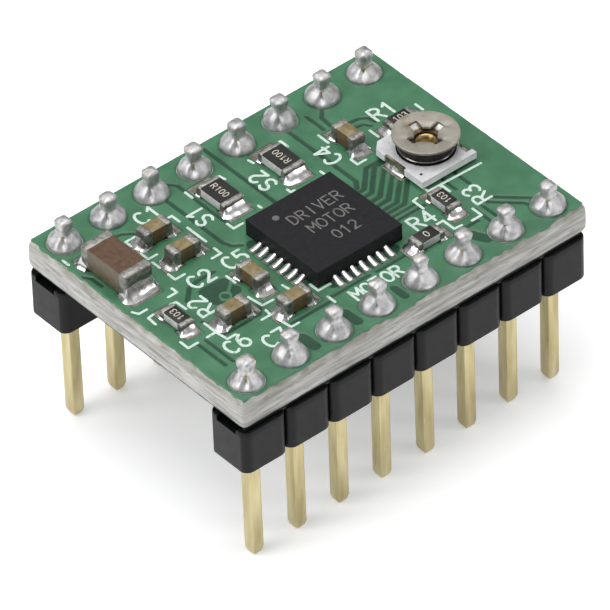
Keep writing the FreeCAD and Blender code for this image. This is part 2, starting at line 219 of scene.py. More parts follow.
def sheet(shape, loops, inside, top, bottom, level=None):
    """A closed sheet over the part of the plan where inside() holds, cut along every loop.
    top() and bottom() give its heights, and level() the number that its material reads."""
    points, edges = [], []
    for loop in loops:
        start = len(points)
        points += [Vector(p) for p in loop]
        edges += [(start + i, start + (i + 1) % len(loop)) for i in range(len(loop))]
    found, _, triangles, _, _, _ = delaunay_2d_cdt(points, edges, [], 0, 1e-5)
    plan = np.array([tuple(p) for p in found])
    triangles = np.array(triangles)
    kept = triangles[inside(plan[triangles].mean(axis=1))]
    used, kept = np.unique(kept, return_inverse=True)
    kept = kept.reshape(-1, 3)
    plan = plan[used]
    count = len(plan)
    sides = {(int(t[i]), int(t[(i + 1) % 3])) for t in kept for i in range(3)}
    rim = [(a, b) for a, b in sorted(sides) if (b, a) not in sides]
    faces = [tuple(t) for t in kept]
    faces += [(t[2] + count, t[1] + count, t[0] + count) for t in kept]
    faces += [(a, a + count, b + count, b) for a, b in rim]
    upper = np.column_stack([plan, top(plan)])
    lower = np.column_stack([plan, bottom(plan)])
    values = np.zeros(count) if level is None else level(plan)
    shape.add(np.vstack([upper, lower]), faces, np.concatenate([values, values]))


def flat(height):
    """A height that is the same all over a plan."""
    return lambda plan: np.full(len(plan), height)


def away(plan, spot):
    """Distance from each point of a plan to a spot."""
    return np.linalg.norm(plan - np.array(spot), axis=1)


class Strokes:
    """Round-ended strokes in plan: printed lines, letters, spaces between copper areas, and patches of
    painted shade.
    """

    def __init__(self):
        self.parts = []

    def line(self, points, width):
        for start, end in zip(points, points[1:]):
            self.parts.append((np.array(tuple(start), float), np.array(tuple(end), float), width / 2))

    def reach(self, plan):
        """How deep each point lies in the nearest stroke; negative outside them all."""
        best = np.full(len(plan), -1e3)
        for start, end, radius in self.parts:
            along = end - start
            share = np.clip((plan - start) @ along / max(along @ along, 1e-12), 0, 1)
            distance = np.linalg.norm(plan - start - share[:, None] * along, axis=1)
            best = np.maximum(best, radius - distance)
        return best

    def outlines(self, grow=0.0, steps=5):
        """The closed outline of every stroke, grown by some distance."""
        loops = []
        for start, end, radius in self.parts:
            heading = math.atan2(end[1] - start[1], end[0] - start[0])
            loop = []
            for middle, first in ((end, heading - math.pi / 2), (start, heading + math.pi / 2)):
                for step in range(steps + 1):
                    t = first + math.pi * step / steps
                    loop.append(Vector(middle) + Vector((math.cos(t), math.sin(t))) * (radius + grow))
            loops.append(loop)
        return loops


def arc(x, y, rx, ry, start, end, steps=6):
    """Points along part of an ellipse, between two angles in degrees."""
    turns = [math.radians(start + (end - start) * i / steps) for i in range(steps + 1)]
    return [(x + rx * math.cos(t), y + ry * math.sin(t)) for t in turns]


def printed(strokes, top, bottom, steps=5):
    """A thin sheet in the shape of some strokes, with heights as in sheet."""
    shape = Shape()
    sheet(shape, strokes.outlines(0, steps), lambda plan: strokes.reach(plan) > 0, top, bottom)
    return shape


# A plain line font: each letter is one unit high, about LETTER_WIDTH wide, and LETTER_STEP from the next.
LETTER_WIDTH, LETTER_STEP = 0.6, 0.82
LETTERS = {
    "0": [arc(0.3, 0.5, 0.28, 0.5, 90, 450, 12)],
    "1": [[(0.12, 0.78), (0.34, 1.0), (0.34, 0.0)]],
    "2": [arc(0.3, 0.71, 0.28, 0.29, 165, -35) + [(0.03, 0.0), (0.6, 0.0)]],
    "3": [arc(0.27, 0.75, 0.28, 0.25, 150, -85), arc(0.27, 0.26, 0.31, 0.26, 85, -150)],
    "4": [[(0.44, 0.0), (0.44, 1.0), (0.0, 0.3), (0.6, 0.3)]],
    "5": [[(0.54, 1.0), (0.1, 1.0), (0.06, 0.56)] + arc(0.27, 0.32, 0.31, 0.32, 120, -145)],
    "6": [arc(0.3, 0.31, 0.29, 0.31, 150, 510, 12), [(0.03, 0.42), (0.12, 0.8), (0.42, 1.0)]],
    "7": [[(0.0, 1.0), (0.58, 1.0), (0.2, 0.0)]],
    "C": [arc(0.33, 0.5, 0.32, 0.5, 50, 310, 9)],
    "D": [[(0.0, 0.0), (0.0, 1.0), (0.22, 1.0)] + arc(0.22, 0.5, 0.36, 0.5, 80, -80)
          + [(0.22, 0.0), (0.0, 0.0)]],
    "E": [[(0.56, 1.0), (0.0, 1.0), (0.0, 0.0), (0.56, 0.0)], [(0.0, 0.52), (0.46, 0.52)]],
    "I": [[(0.3, 0.0), (0.3, 1.0)]],
    "M": [[(0.0, 0.0), (0.0, 1.0), (0.32, 0.4), (0.64, 1.0), (0.64, 0.0)]],
    "O": [arc(0.32, 0.5, 0.32, 0.5, 90, 450, 12)],
    "R": [[(0.0, 0.0), (0.0, 1.0), (0.3, 1.0)] + arc(0.3, 0.75, 0.27, 0.25, 80, -80) + [(0.0, 0.5)],
          [(0.28, 0.5), (0.58, 0.0)]],
    "S": [arc(0.3, 0.76, 0.27, 0.24, 30, 260) + arc(0.3, 0.26, 0.29, 0.26, 80, -150)],
    "T": [[(0.0, 1.0), (0.6, 1.0)], [(0.3, 1.0), (0.3, 0.0)]],
    "V": [[(0.0, 1.0), (0.3, 0.0), (0.6, 1.0)]],
}


def write(strokes, words, middle, height, width, turn=0.0):
    """Adds words in the line font, centred on a point and turned in plan by some degrees."""
    half = (len(words) * LETTER_STEP - (LETTER_STEP - LETTER_WIDTH)) / 2
    turning = Matrix.Rotation(math.radians(turn), 2)
    for i, letter in enumerate(words):
        for line in LETTERS[letter]:
            offsets = [Vector((x + i * LETTER_STEP - half, y - 0.5)) * height for x, y in line]
            strokes.line([Vector(middle) + turning @ offset for offset in offsets], width)


# ================================================================ finishes
def rgb(red, green, blue):
    """A colour given as 0 to 255 display values."""
    shares = [value / 255 for value in (red, green, blue)]
    return [s / 12.92 if s <= 0.04045 else ((s + 0.055) / 1.055) ** 2.4 for s in shares] + [1.0]


class Finish:
    """A node material: colour by noise, a grain of small bumps, and a roughness that varies."""

    def __init__(self, name, metallic=0.0, specular=0.5):
        self.material = bpy.data.materials.new(name)
        self.material.use_nodes = True
        self.tree = self.material.node_tree
        self.shader = self.tree.nodes["Principled BSDF"]
        self.shader.inputs["Metallic"].default_value = metallic
        self.shader.inputs["Specular IOR Level"].default_value = specular
        self.place = self.tree.nodes.new("ShaderNodeTexCoord").outputs["Object"]

    def noise(self, per_mm, detail=3.0, stretch=(1, 1, 1)):
        mapping = self.tree.nodes.new("ShaderNodeMapping")
        mapping.inputs["Scale"].default_value = [per_mm / MM * s for s in stretch]
        node = self.tree.nodes.new("ShaderNodeTexNoise")
        node.inputs["Scale"].default_value = 1.0
        node.inputs["Detail"].default_value = detail
        self.tree.links.new(self.place, mapping.inputs["Vector"])
        self.tree.links.new(mapping.outputs["Vector"], node.inputs["Vector"])
        return node.outputs["Fac"]

    def ramp(self, value, stops):
        node = self.tree.nodes.new("ShaderNodeValToRGB")
        elements = node.color_ramp.elements
        while len(elements) < len(stops):
            elements.new(0.5)
        for element, (position, colour) in zip(elements, stops):
            element.position = position
            element.color = colour
        self.tree.links.new(value, node.inputs["Fac"])
        return node.outputs["Color"]

    def between(self, value, low, high, start=0.0, end=1.0):
        """value from low to high, spread over start to end."""
        node = self.tree.nodes.new("ShaderNodeMapRange")
        for socket, number in (("From Min", low), ("From Max", high), ("To Min", start), ("To Max", end)):
            node.inputs[socket].default_value = number
        self.tree.links.new(value, node.inputs["Value"])
        return node.outputs["Result"]

    def times(self, first, second):
        node = self.tree.nodes.new("ShaderNodeMath")
        node.operation = "MULTIPLY"
        self.tree.links.new(first, node.inputs[0])
        self.tree.links.new(second, node.inputs[1])
        return node.outputs["Value"]

    def mix(self, factor, first, second):
        node = self.tree.nodes.new("ShaderNodeMix")
        node.data_type = "RGBA"
        self.tree.links.new(factor, node.inputs["Factor"])
        for socket, colour in ((node.inputs[6], first), (node.inputs[7], second)):
            if isinstance(colour, bpy.types.NodeSocket):
                self.tree.links.new(colour, socket)
            else:
                socket.default_value = colour
        return node.outputs[2]

    def level(self):
        node = self.tree.nodes.new("ShaderNodeAttribute")
        node.attribute_name = "level"
        return node.outputs["Fac"]

    def colour(self, socket):
        self.tree.links.new(socket, self.shader.inputs["Base Color"])

    def roughness(self, value, low, high):
        self.tree.links.new(self.between(value, 0.3, 0.7, low, high), self.shader.inputs["Roughness"])

    def bumps(self, height, depth):
        node = self.tree.nodes.new("ShaderNodeBump")
        node.inputs["Strength"].default_value = 1.0
        node.inputs["Distance"].default_value = depth * MM
        self.tree.links.new(height, node.inputs["Height"])
        self.tree.links.new(node.outputs["Normal"], self.shader.inputs["Normal"])


def shades(*stops):
    """Stops of a ramp, each a place on it and a colour in display values."""
    return [(place, rgb(*colour)) for place, colour in stops]


def surface(name, tones, cloud, rough, grain, metallic=0.0, specular=0.5, marks=()):
    """One finish. tones: a colour ramp, or two with the second where level is 1. cloud: the noise that
    spreads them. rough: lowest and highest roughness, then its noise where that isn't the cloud. grain:
    depth of the small bumps, then their noise. marks: noise, its range and strength, the colour, and
    whether level scales the mark."""
    made = Finish(name, metallic, specular)
    spread = made.noise(*cloud)
    looks = [made.ramp(spread, shades(*stops)) for stops in tones]
    colour = made.mix(made.level(), *looks) if len(looks) > 1 else looks[0]
    for spots, limits, stain, by_level in marks:
        amount = made.between(made.noise(*spots), *limits)
        if by_level:
            amount = made.times(made.level(), amount)
        colour = made.mix(amount, colour, rgb(*stain))
    made.colour(colour)
    low, high, *unevenness = rough
    made.roughness(made.noise(*unevenness) if unevenness else spread, low, high)
    depth, *bumps = grain
    made.bumps(made.noise(*bumps), depth)
    return made.material


FINISHES = {
    # Green solder mask with a satin skin: darker over bare laminate and in painted shade, lighter where
    # level is 1, over copper.
    "mask": surface(
        "solder_mask_green",
        [((0.35, (24, 62, 43)), (0.65, (31, 73, 51))), ((0.35, (57, 106, 76)), (0.65, (68, 119, 87)))],
        (0.8,), (0.34, 0.46, 3.0), (0.006, 7.0, 2.0)),
    # Printed ink: nearly white, and greener where it is thin.
    "legend": surface(
        "legend_ink", [((0.3, (150, 182, 164)), (0.46, (200, 217, 208)))],
        (5.0, 4.0), (0.5, 0.65, 4.0), (0.006, 12.0)),
    # Cut edge of glass-fibre laminate: pale layers with darker streaks, tan where level is above 0.
    "fibre": surface(
        "laminate_fibre", [((0.3, (138, 137, 133)), (0.5, (174, 173, 169)), (0.7, (202, 201, 198)))],
        (1.0, 4.0, (0.4, 0.4, 5.0)), (0.6, 0.8), (0.04, 5.0, 4.0, (0.3, 0.3, 1.8)), marks=[
            ((2.4, 3.0, (0.5, 0.5, 2.8)), (0.56, 0.68, 0.0, 0.65), (124, 120, 111), False),
            ((1.3, 4.0), (0.4, 0.62, 0.1, 0.6), (124, 124, 106), True)]),
    # Satin solder with fine creases, and patches of dull tan flux where level is above 0.
    "joint_solder": surface(
        "joint_solder", [((0.3, (168, 167, 169)), (0.5, (204, 203, 204)), (0.7, (224, 223, 224)))],
        (2.6, 4.0), (0.48, 0.62, 2.0), (0.02, 4.0, 3.0), 1.0, marks=[
            ((2.6, 3.0), (0.52, 0.66, 0.0, 0.55), (158, 144, 112), True)]),
    # Bright solder, nearly a mirror, with shallow ripples.
    "chip_solder": surface(
        "chip_solder", [((0.3, (184, 182, 182)), (0.5, (216, 214, 214)), (0.7, (236, 234, 234)))],
        (2.2, 4.0), (0.2, 0.34, 2.0), (0.012, 2.0, 2.0), 1.0),
    # Thin pale gold plating, drawn lengthwise, with faint darker streaks.
    "pin_gold": surface(
        "pin_gold_plate", [((0.3, (172, 158, 116)), (0.5, (194, 181, 138)), (0.7, (210, 199, 158)))],
        (2.2, 3.0, (1, 1, 0.15)), (0.3, 0.42), (0.012, 5.0, 3.0, (1, 1, 0.3)), 1.0),
    # Rolled steel of the trimmer's rotor, with faint brown flux marks.
    "rotor_steel": surface(
        "rotor_steel_sheet", [((0.35, (156, 150, 139)), (0.65, (172, 167, 157)))],
        (1.2,), (0.5, 0.62, 2.5), (0.010, 9.0, 3.0), 0.6, marks=[
            ((1.1, 4.0), (0.58, 0.74, 0.0, 0.7), (130, 112, 84), False)]),
}
# Moulded or glazed black, with fine pits: name, shades, roughness, depth of the pits, specular level.
for key, name, dark, light, rough, pit, specular in (
        ("header_plastic", "header_plastic_black", (7, 7, 8), (13, 13, 14), (0.3, 0.42), 0.008, 0.215),
        ("chip_mould", "chip_mould_black", (16, 15, 19), (25, 24, 28), (0.5, 0.66), 0.010, 0.30),
        ("overcoat", "resistor_overcoat_black", (20, 19, 19), (34, 33, 32), (0.4, 0.55), 0.008, 0.5)):
    tones = [((0.35, dark), (0.72, light))]
    FINISHES[key] = surface(name, tones, (9.0, 4.0), (*rough, 3.0), (pit, 16.0, 3.0), 0.0, specular)
# Plain looks: shades, noise per mm, roughness, metal, bumps per mm and their depth.
for name, dark, light, per_mm, rough, metallic, (bumps, depth) in (
        ("chip_mark", (88, 86, 84), (118, 116, 112), 8.0, (0.6, 0.75), 0.0, (14.0, 0.004)),
        ("pin_dot", (92, 88, 86), (112, 108, 104), 6.0, (0.55, 0.7), 0.0, (10.0, 0.006)),
        ("value_ink", (178, 172, 156), (212, 206, 190), 10.0, (0.5, 0.65), 0.0, (14.0, 0.003)),
        ("lead_tin", (150, 149, 148), (190, 189, 188), 5.0, (0.26, 0.38), 1.0, (10.0, 0.008)),
        ("pad_tin", (126, 121, 112), (170, 165, 156), 3.0, (0.34, 0.48), 1.0, (6.0, 0.010)),
        ("tinned_copper", (158, 150, 138), (192, 186, 176), 3.0, (0.3, 0.44), 1.0, (6.0, 0.010)),
        ("alumina", (178, 178, 176), (208, 208, 206), 3.0, (0.5, 0.62), 0.0, (9.0, 0.010)),
        ("brass", (150, 128, 84), (186, 166, 118), 3.0, (0.26, 0.4), 0.9, (8.0, 0.008)),
        ("terminal_metal", (166, 158, 138), (204, 196, 176), 3.0, (0.24, 0.4), 1.0, (6.0, 0.012)),
        ("ink_track", (16, 16, 17), (28, 28, 29), 5.0, (0.3, 0.45), 0.0, (10.0, 0.005)),
        ("spring", (176, 166, 140), (206, 196, 170), 4.0, (0.2, 0.34), 1.0, (8.0, 0.005)),
        ("silicon", (52, 56, 66), (78, 82, 94), 6.0, (0.1, 0.2), 0.6, (20.0, 0.002)),
        ("bond_gold", (206, 160, 70), (236, 196, 104), 10.0, (0.2, 0.3), 1.0, (20.0, 0.002)),
        ("electrode", (140, 138, 134), (172, 170, 166), 6.0, (0.3, 0.4), 1.0, (16.0, 0.003)),
        ("film", (44, 42, 40), (66, 62, 58), 8.0, (0.4, 0.5), 0.2, (16.0, 0.003))):
    tones = [((0.32, dark), (0.68, light))]
    FINISHES[name] = surface(name, tones, (per_mm,), rough, (depth, bumps, 2.0), metallic)
# Another look where level is 1: shades of both, roughness, metal, bumps per mm and their depth. In each, the
# two looks are one material painted as lit and shaded copies.
for name, side, top, rough, metallic, (bumps, depth) in (
        # Bulk capacitor: sides painted yellower and a little lighter than the top, as painted light from the
        # side.
        ("bulk_ceramic", ((82, 72, 52), (98, 87, 66)), ((80, 57, 42), (95, 71, 53)),
         (0.34, 0.46), 0.0, (8.0, 0.008)),
        # Small capacitors: sides painted darker than the top, as painted shade.
        ("small_ceramic", ((86, 66, 42), (106, 86, 57)), ((116, 101, 67), (140, 127, 90)),
         (0.36, 0.48), 0.0, (8.0, 0.008)),
        # Chip end metal: tops painted lighter than the sides, as painted light.
        ("end_tin", ((96, 94, 90), (156, 153, 148)), ((136, 134, 130), (180, 178, 172)),
         (0.36, 0.52), 0.75, (7.0, 0.04)),
        # Rotor drum: steel painted nearly black as painted shade under the flange; its foot rib, where level
        # is 1, a painted highlight.
        ("drum_steel", ((30, 29, 29), (54, 52, 50)), ((112, 110, 108), (136, 134, 132)),
         (0.16, 0.28), 0.7, (6.0, 0.006)),
        # Slot floor: near white where level is 1, a painted highlight on the arms' end slopes; darker brown
        # elsewhere.
        ("slot_metal", ((84, 72, 54), (120, 104, 80)), ((226, 223, 216), (244, 242, 236)),
         (0.3, 0.42), 0.85, (6.0, 0.01)),
        # Trimmer slab: sides painted lighter than the top, as painted light.
        ("trimmer_ceramic", ((226, 226, 228), (240, 240, 242)), ((190, 190, 191), (210, 210, 212)),
         (0.42, 0.55), 0.0, (7.0, 0.012))):
    tones = [((0.34, dark), (0.66, light)) for dark, light in (side, top)]
    FINISHES[name] = surface(name, tones, (3.5, 4.0), rough, (depth, bumps, 3.0), metallic)


# ================================================================ board
PAD_CLEARANCE = 0.05
PAD_BOXES = islands("copper_pads_top")
RING_RADIUS = (PAD_BOXES[0][1].x - PAD_BOXES[0][0].x) / 2
BOARD_CORNER = 0.3
# Uneven wear: depth, changes per mm, and for the mask a seed too. The mask also starts back from the edge.
EDGE_WEAR = (0.05, 1.7)
MASK_BACK = 0.015
MASK_WEAR = [(0.16, 2.6, 5.0), (0.12, 0.7, 8.0)]


def is_ring(low, high):
    """A round pad lies around a pin."""
    middle = (low + high) / 2
    return any((middle.xy - pin.xy).length < 0.1 for row in PINS.values() for pin in row)


def edge_walk(step):
    """The outline of the board in short steps, with rounded corners."""
    outline = rounded(rectangle(*LAMINATE_LOW.xy, *LAMINATE_HIGH.xy), BOARD_CORNER, 4)
    walked = []
    for i, point in enumerate(outline):
        following = outline[(i + 1) % len(outline)]
        pieces = max(1, round((following - point).length / step))
        walked += [point.lerp(following, k / pieces) for k in range(pieces)]
    return walked


def ragged(outline, depth, per_mm, seed):
    """The outline worn inwards by up to depth, unevenly."""
    normals = [inner - point for point, inner in zip(outline, inset(outline, 1.0))]
    worn = []
    for point, normal in zip(outline, normals):
        share = 0.5 + 0.5 * noise.noise(Vector((point.x * per_mm, point.y * per_mm, seed)))
        worn.append(point + normal * depth * share)
    return worn


# Section of the board's routed edge: share of the laminate's height, and how far it draws in.
EDGE_SECTION = [(0.0, 0.10), (0.1, 0.03), (0.3, 0.0), (0.66, 0.0), (0.84, 0.04), (0.94, 0.11), (1.0, 0.20)]
# The section's point where the edge begins to fall away, which is also where the mask may be worn off.
FALL_START = 3


def edge_fall(plan):
    """How far the top of the laminate has fallen at each point of a plan, near its rounded edge."""
    middle = np.array((LAMINATE_LOW.xy + LAMINATE_HIGH.xy) / 2)
    half = np.array((LAMINATE_HIGH.xy - LAMINATE_LOW.xy) / 2)
    within = (half - np.abs(plan - middle)).min(axis=1)
    height = LAMINATE_HIGH.z - LAMINATE_LOW.z
    rounding = [(draw, height * (1 - share)) for share, draw in EDGE_SECTION[FALL_START:]]
    return np.interp(within, *zip(*rounding))


def board_core():
    """The laminate: a plate with rough, rounded edges, where level says that the mask has worn off."""
    shape = Shape()
    outline = edge_walk(0.35)
    height = LAMINATE_HIGH.z - LAMINATE_LOW.z
    rings, levels = [], []
    for k, (share, draw) in enumerate(EDGE_SECTION):
        z = LAMINATE_LOW.z + height * share
        ring = ragged(inset(outline, draw) if draw else outline, *EDGE_WEAR, 3.1 * k)
        rings.append([(p.x, p.y, z) for p in ring])
        levels += [min(1.0, max(0.0, (share - EDGE_SECTION[FALL_START][0]) / 0.2))] * len(ring)
    loft(shape, rings, levels)
    piece("board_core", shape, "fibre", ["board_laminate"])


# Gaps between copper areas, bare patches, and patches of painted shade, each a width and a run of corners in
# plan.
GAPS_AND_SHADE = [
    (0.23, [(-3.62, 5.75), (-3.62, 1.6), (-3.45, 1.1), (-3.1, 0.85)]),
    (0.20, [(-3.0, 6.5), (-2.6, 6.0), (-2.6, 2.4)]),
    (0.23, [(-0.05, 7.2), (-0.05, 1.4)]),
    (0.21, [(-7.1, 5.15), (-6.6, 5.05), (-6.2, 4.75), (-6.05, 4.3)]),
    (0.21, [(-7.4, -0.5), (-6.75, 0.15), (-6.2, 0.3), (-5.2, 0.3)]),
    (0.19, [(-8.88, -3.05), (-8.88, -4.9)]),
    (0.19, [(-8.45, -3.05), (-8.45, -4.9), (-8.1, -5.3)]),
    (0.21, [(-9.75, 3.9), (-9.55, 3.6), (-9.55, 2.9)]),
    (0.21, [(-7.75, -2.0), (-7.75, -3.3), (-5.6, -3.3), (-5.1, -2.8)]),
    (0.21, [(-5.35, -5.1), (-4.85, -4.75), (-2.7, -4.75)]),
    (0.20, [(-2.5, -4.55), (-0.2, -4.55)]),
    (0.20, [(0.2, -4.6), (1.9, -4.6)]),
    (0.23, [(3.6, 5.75), (3.6, 0.8), (3.3, 0.35)]),
    (0.20, [(4.9, 5.75), (4.9, 4.5)]),
    (0.20, [(5.75, 5.65), (5.35, 5.2), (5.3, 4.5)]),
    (0.21, [(6.1, 4.1), (6.6, 4.05), (6.95, 3.8), (7.0, 3.4)]),
    (0.19, [(6.1, 3.66), (6.5, 3.6), (6.66, 3.3)]),
    (0.23, [(3.1, 0.1), (3.5, 0.1), (4.55, 1.15), (5.4, 1.15)]),
    (0.23, [(3.1, -0.32), (3.6, -0.32), (4.9, 0.98), (5.4, 0.98)]),
    (0.23, [(3.1, -0.78), (3.7, -0.78), (5.3, 0.75)]),
    (0.23, [(3.1, -1.2), (3.85, -1.2), (5.35, 0.25)]),
    (0.23, [(3.1, -1.6), (4.0, -1.6), (5.35, -0.3)]),
    (0.23, [(3.1, -1.9), (4.2, -1.9), (5.35, -0.8)]),
    (0.19, [(3.1, -2.22), (4.6, -2.22)]),
    (0.19, [(3.1, -2.56), (4.8, -2.56)]),
    (0.19, [(6.58, -1.7), (6.58, -2.7)]),
    (0.19, [(7.3, -1.7), (7.3, -2.8)]),
    (0.20, [(6.3, -4.3), (6.3, -5.5)]),
    (0.20, [(6.72, -4.4), (6.72, -5.4)]),
    (0.22, [(7.05, -4.3), (8.25, -5.5), (8.35, -5.8)]),
    (0.22, [(7.45, -4.2), (8.75, -5.45)]),
    (0.20, [(4.3, -5.0), (5.9, -5.0)]),
    (0.75, [(-6.35, -0.6), (-5.35, -0.6)]),
    (0.75, [(-6.35, -1.25), (-5.35, -1.25)]),
    # Painted shadows of the near row's solder joints: dark patches to the right of four joints.
    (0.55, [(-5.15, -5.75), (-5.15, -6.6)]),
    (0.50, [(-2.65, -5.75), (-2.65, -6.6)]),
    (0.40, [(0.05, -6.0), (0.05, -6.7)]),
    (0.60, [(5.0, -5.5), (5.35, -6.2)]),
    # Dark bands round the driver chip's leads: partly bare laminate where the mask stops, partly painted
    # shade under the chip's body.
    (0.72, [(-2.66, -2.95), (-2.66, 0.5)]),
    (0.72, [(-1.75, -3.88), (1.75, -3.88)]),
    (0.50, [(2.75, -2.9), (2.75, 0.5)]),
    (0.50, [(-1.75, 1.52), (1.75, 1.52)]),
]

# Copper that crosses a gap: the ring of a via, and tracks between the pads.
TRACKS = [
    (0.14, arc(-5.88, -1.33, 0.26, 0.26, 0, 360, 12)),
    (0.2, [(-5.6, -1.2), (-5.0, -0.7)]),
    (0.22, [(-9.15, -3.0), (-9.15, -5.6)]),
]

# Depth of a gap under the mask, and the width of its slopes.
RELIEF = 0.038
SLOPE = 0.07


def strokes_of(runs):
    """Strokes along runs of corners, each run with its width."""
    made = Strokes()
    for width, points in runs:
        made.line(points, width)
    return made


gaps_and_shade = strokes_of(GAPS_AND_SHADE)
tracks = strokes_of(TRACKS)

# The mask dips in a narrow rim round each window and is painted darker there, as painted shade.
WINDOW_SHADE_RIM = 0.13
WINDOW_CORNER = 0.06
RING_MIDDLES = np.array([tuple(pin.xy) for row in PINS.values() for pin in row])
PAD_WINDOWS = [(low, high) for low, high in PAD_BOXES if not is_ring(low, high)]


def beyond_windows(plan):
    """Distance from each point of a plan to the nearest window in the mask."""
    nearest = np.full(len(plan), 1e3)
    for middle in RING_MIDDLES:
        nearest = np.minimum(nearest, away(plan, middle) - RING_RADIUS - PAD_CLEARANCE)
    for low, high in PAD_WINDOWS:
        before, beyond = np.array(low.xy) - PAD_CLEARANCE - plan, plan - np.array(high.xy) - PAD_CLEARANCE
        nearest = np.minimum(nearest, np.linalg.norm(np.maximum(np.maximum(before, beyond), 0), axis=1))
    return nearest


def copper_and_shade_level(plan):
    """1 where the mask covers copper, 0 over bare laminate and in patches of painted shade, lower in the
    rims of painted shade round windows, and a slope between.
    """
    in_gap_or_shade = np.clip(gaps_and_shade.reach(plan) / SLOPE + 0.5, 0, 1)
    on_track = np.clip(tracks.reach(plan) / SLOPE + 0.5, 0, 1)
    # The rim is painted shade round each window.
    rim = np.clip(0.35 + 0.65 * beyond_windows(plan) / WINDOW_SHADE_RIM, 0, 1)
    return np.minimum(np.maximum(1 - in_gap_or_shade, on_track), rim)


def mask_height(plan):
    """Height of the mask's upper face."""
    return BOARD_TOP - RELIEF * (1 - copper_and_shade_level(plan)) - edge_fall(plan)


def mask_top():
    """The upper solder mask, drawn back unevenly from the board's edge, with a window at each pad."""
    board_edge = edge_walk(0.2)
    outline = inset(board_edge, MASK_BACK)
    for wear in MASK_WEAR:
        outline = ragged(outline, *wear)
    bends = [inset(board_edge, draw) for _, draw in EDGE_SECTION[FALL_START + 1:]]

    def window_loops(grow):
        loops = [circle(x, y, RING_RADIUS + grow, 40) for x, y in RING_MIDDLES]
        for pad_low, pad_high in PAD_WINDOWS:
            grown = rectangle(pad_low.x - grow, pad_low.y - grow, pad_high.x + grow, pad_high.y + grow)
            loops.append(rounded(grown, WINDOW_CORNER + 0.5 * (grow - PAD_CLEARANCE), 2))
        return loops

    windows = window_loops(PAD_CLEARANCE)
    # Loops that bound the rims of painted shade.
    rims = window_loops(PAD_CLEARANCE + WINDOW_SHADE_RIM)
    copper_and_shade_edges = [loop for runs in (gaps_and_shade, tracks) for half in (-SLOPE / 2, SLOPE / 2)
                    for loop in runs.outlines(half)]

    def inside(plan):
        kept = contains(outline, plan)
        for window in windows:
            kept &= ~contains(window, plan)
        return kept

    shape = Shape()
    sheet(shape, [outline] + bends + windows + rims + copper_and_shade_edges, inside, mask_height,
          lambda plan: LAMINATE_HIGH.z - edge_fall(plan) - 0.01, copper_and_shade_level)
    piece("mask_top", shape, "mask", ["solder_mask_top"], smooth=20.0)


# ---------------------------------------------------------------- printed legend
LEGEND_WIDTH = 0.14
BRACKET_WIDTH, WORD_WIDTH = LEGEND_WIDTH * 0.95, LEGEND_WIDTH * 0.9
LETTER_HEIGHT = 0.84
# How far the ink stands above the mask, and how far it sinks in.
INK_RISE, INK_SINK = 0.012, 0.006

# Part labels: words, centre, turn in degrees.
LABELS = [
    ("C1", (-4.95, 5.28), 0), ("C2", (-5.98, 0.3), 0), ("C5", (-3.98, 0.27), 0), ("R2", (-7.16, -1.2), 90),
    ("C6", (-7.62, -4.18), 0), ("C7", (-6.08, -5.02), 0), ("S1", (-3.25, 3.62), 90), ("S2", (0.47, 3.6), 90),
    ("C4", (3.82, 2.98), 90), ("R1", (7.72, 3.72), 0), ("R3", (7.0, -3.58), 90), ("R4", (4.0, -3.3), 0),
]

# Corner marks around the parts, each a run of corners.
BRACKETS = [
    [(-9.75, 5.4), (-9.75, 5.0)],
    [(-9.7, 0.6), (-9.55, 0.3), (-9.1, 0.3)], [(-7.85, 0.3), (-7.35, 0.3), (-7.35, 0.65)],
    [(-6.85, 4.1), (-6.85, 4.5), (-6.3, 4.5)], [(-4.45, 4.5), (-4.15, 4.5), (-4.15, 3.95)],
    [(-6.85, 3.4), (-6.85, 2.9), (-6.35, 2.9)], [(-4.15, 3.4), (-4.15, 2.1)],
    [(-6.85, 2.6), (-6.85, 2.1)], [(-6.85, 1.5), (-6.85, 1.02), (-6.3, 1.02)],
    [(-4.7, 1.02), (-4.17, 1.02), (-4.17, 1.5)],
    [(-9.1, -0.15), (-9.42, -0.2), (-9.45, -0.75)], [(-8.1, -0.15), (-7.8, -0.2), (-7.78, -0.85)],
    [(-9.4, -2.4), (-9.4, -2.95), (-8.85, -2.95)], [(-8.3, -2.95), (-7.8, -2.95), (-7.8, -2.15)],
    [(-7.8, -2.95), (-7.72, -3.65), (-7.25, -3.65)],
    [(-5.75, -3.68), (-5.25, -3.68), (-5.2, -3.3)], [(-5.2, -2.1), (-5.1, -2.95), (-4.5, -2.98)],
    [(-3.55, -2.5), (-3.5, -2.9)],
    [(-5.15, -4.4), (-5.1, -4.93), (-4.65, -4.93)], [(-2.55, -4.45), (-2.55, -4.95)],
    [(-2.6, -3.3), (-2.6, -3.86), (-1.9, -3.86)], [(-5.0, -0.35), (-5.0, -0.95)],
    [(-2.65, 5.35), (-2.65, 4.85)], [(-0.78, 5.2), (-0.72, 4.85)],
    [(-2.65, 2.4), (-2.65, 1.95), (-2.1, 1.95)], [(-0.8, 2.42), (-0.8, 2.22)],
    [(0.92, 5.15), (0.97, 4.85)], [(2.5, 5.2), (2.88, 5.2), (2.88, 4.7)],
    [(0.9, 2.4), (0.9, 2.15), (1.1, 2.15)], [(2.84, 2.35), (2.84, 2.1)],
    [(4.42, 4.35), (4.42, 3.65)], [(4.95, 2.3), (4.4, 2.05), (4.4, 1.6), (4.9, 1.6)],
    [(5.4, 2.35), (5.55, 2.1)],
    [(6.38, 3.05), (6.38, 2.45)], [(9.15, 3.05), (9.15, 2.55)],
    [(5.5, -1.7), (5.55, -1.98), (8.6, -2.1)],
    [(4.85, -2.0), (4.58, -2.05), (4.58, -2.75)], [(6.0, -2.15), (6.25, -2.1), (6.25, -2.65)],
    [(6.22, -4.25), (6.22, -4.85), (5.65, -4.85)],
    [(4.3, -3.98), (4.68, -3.98), (4.68, -4.75), (5.1, -4.78)],
]
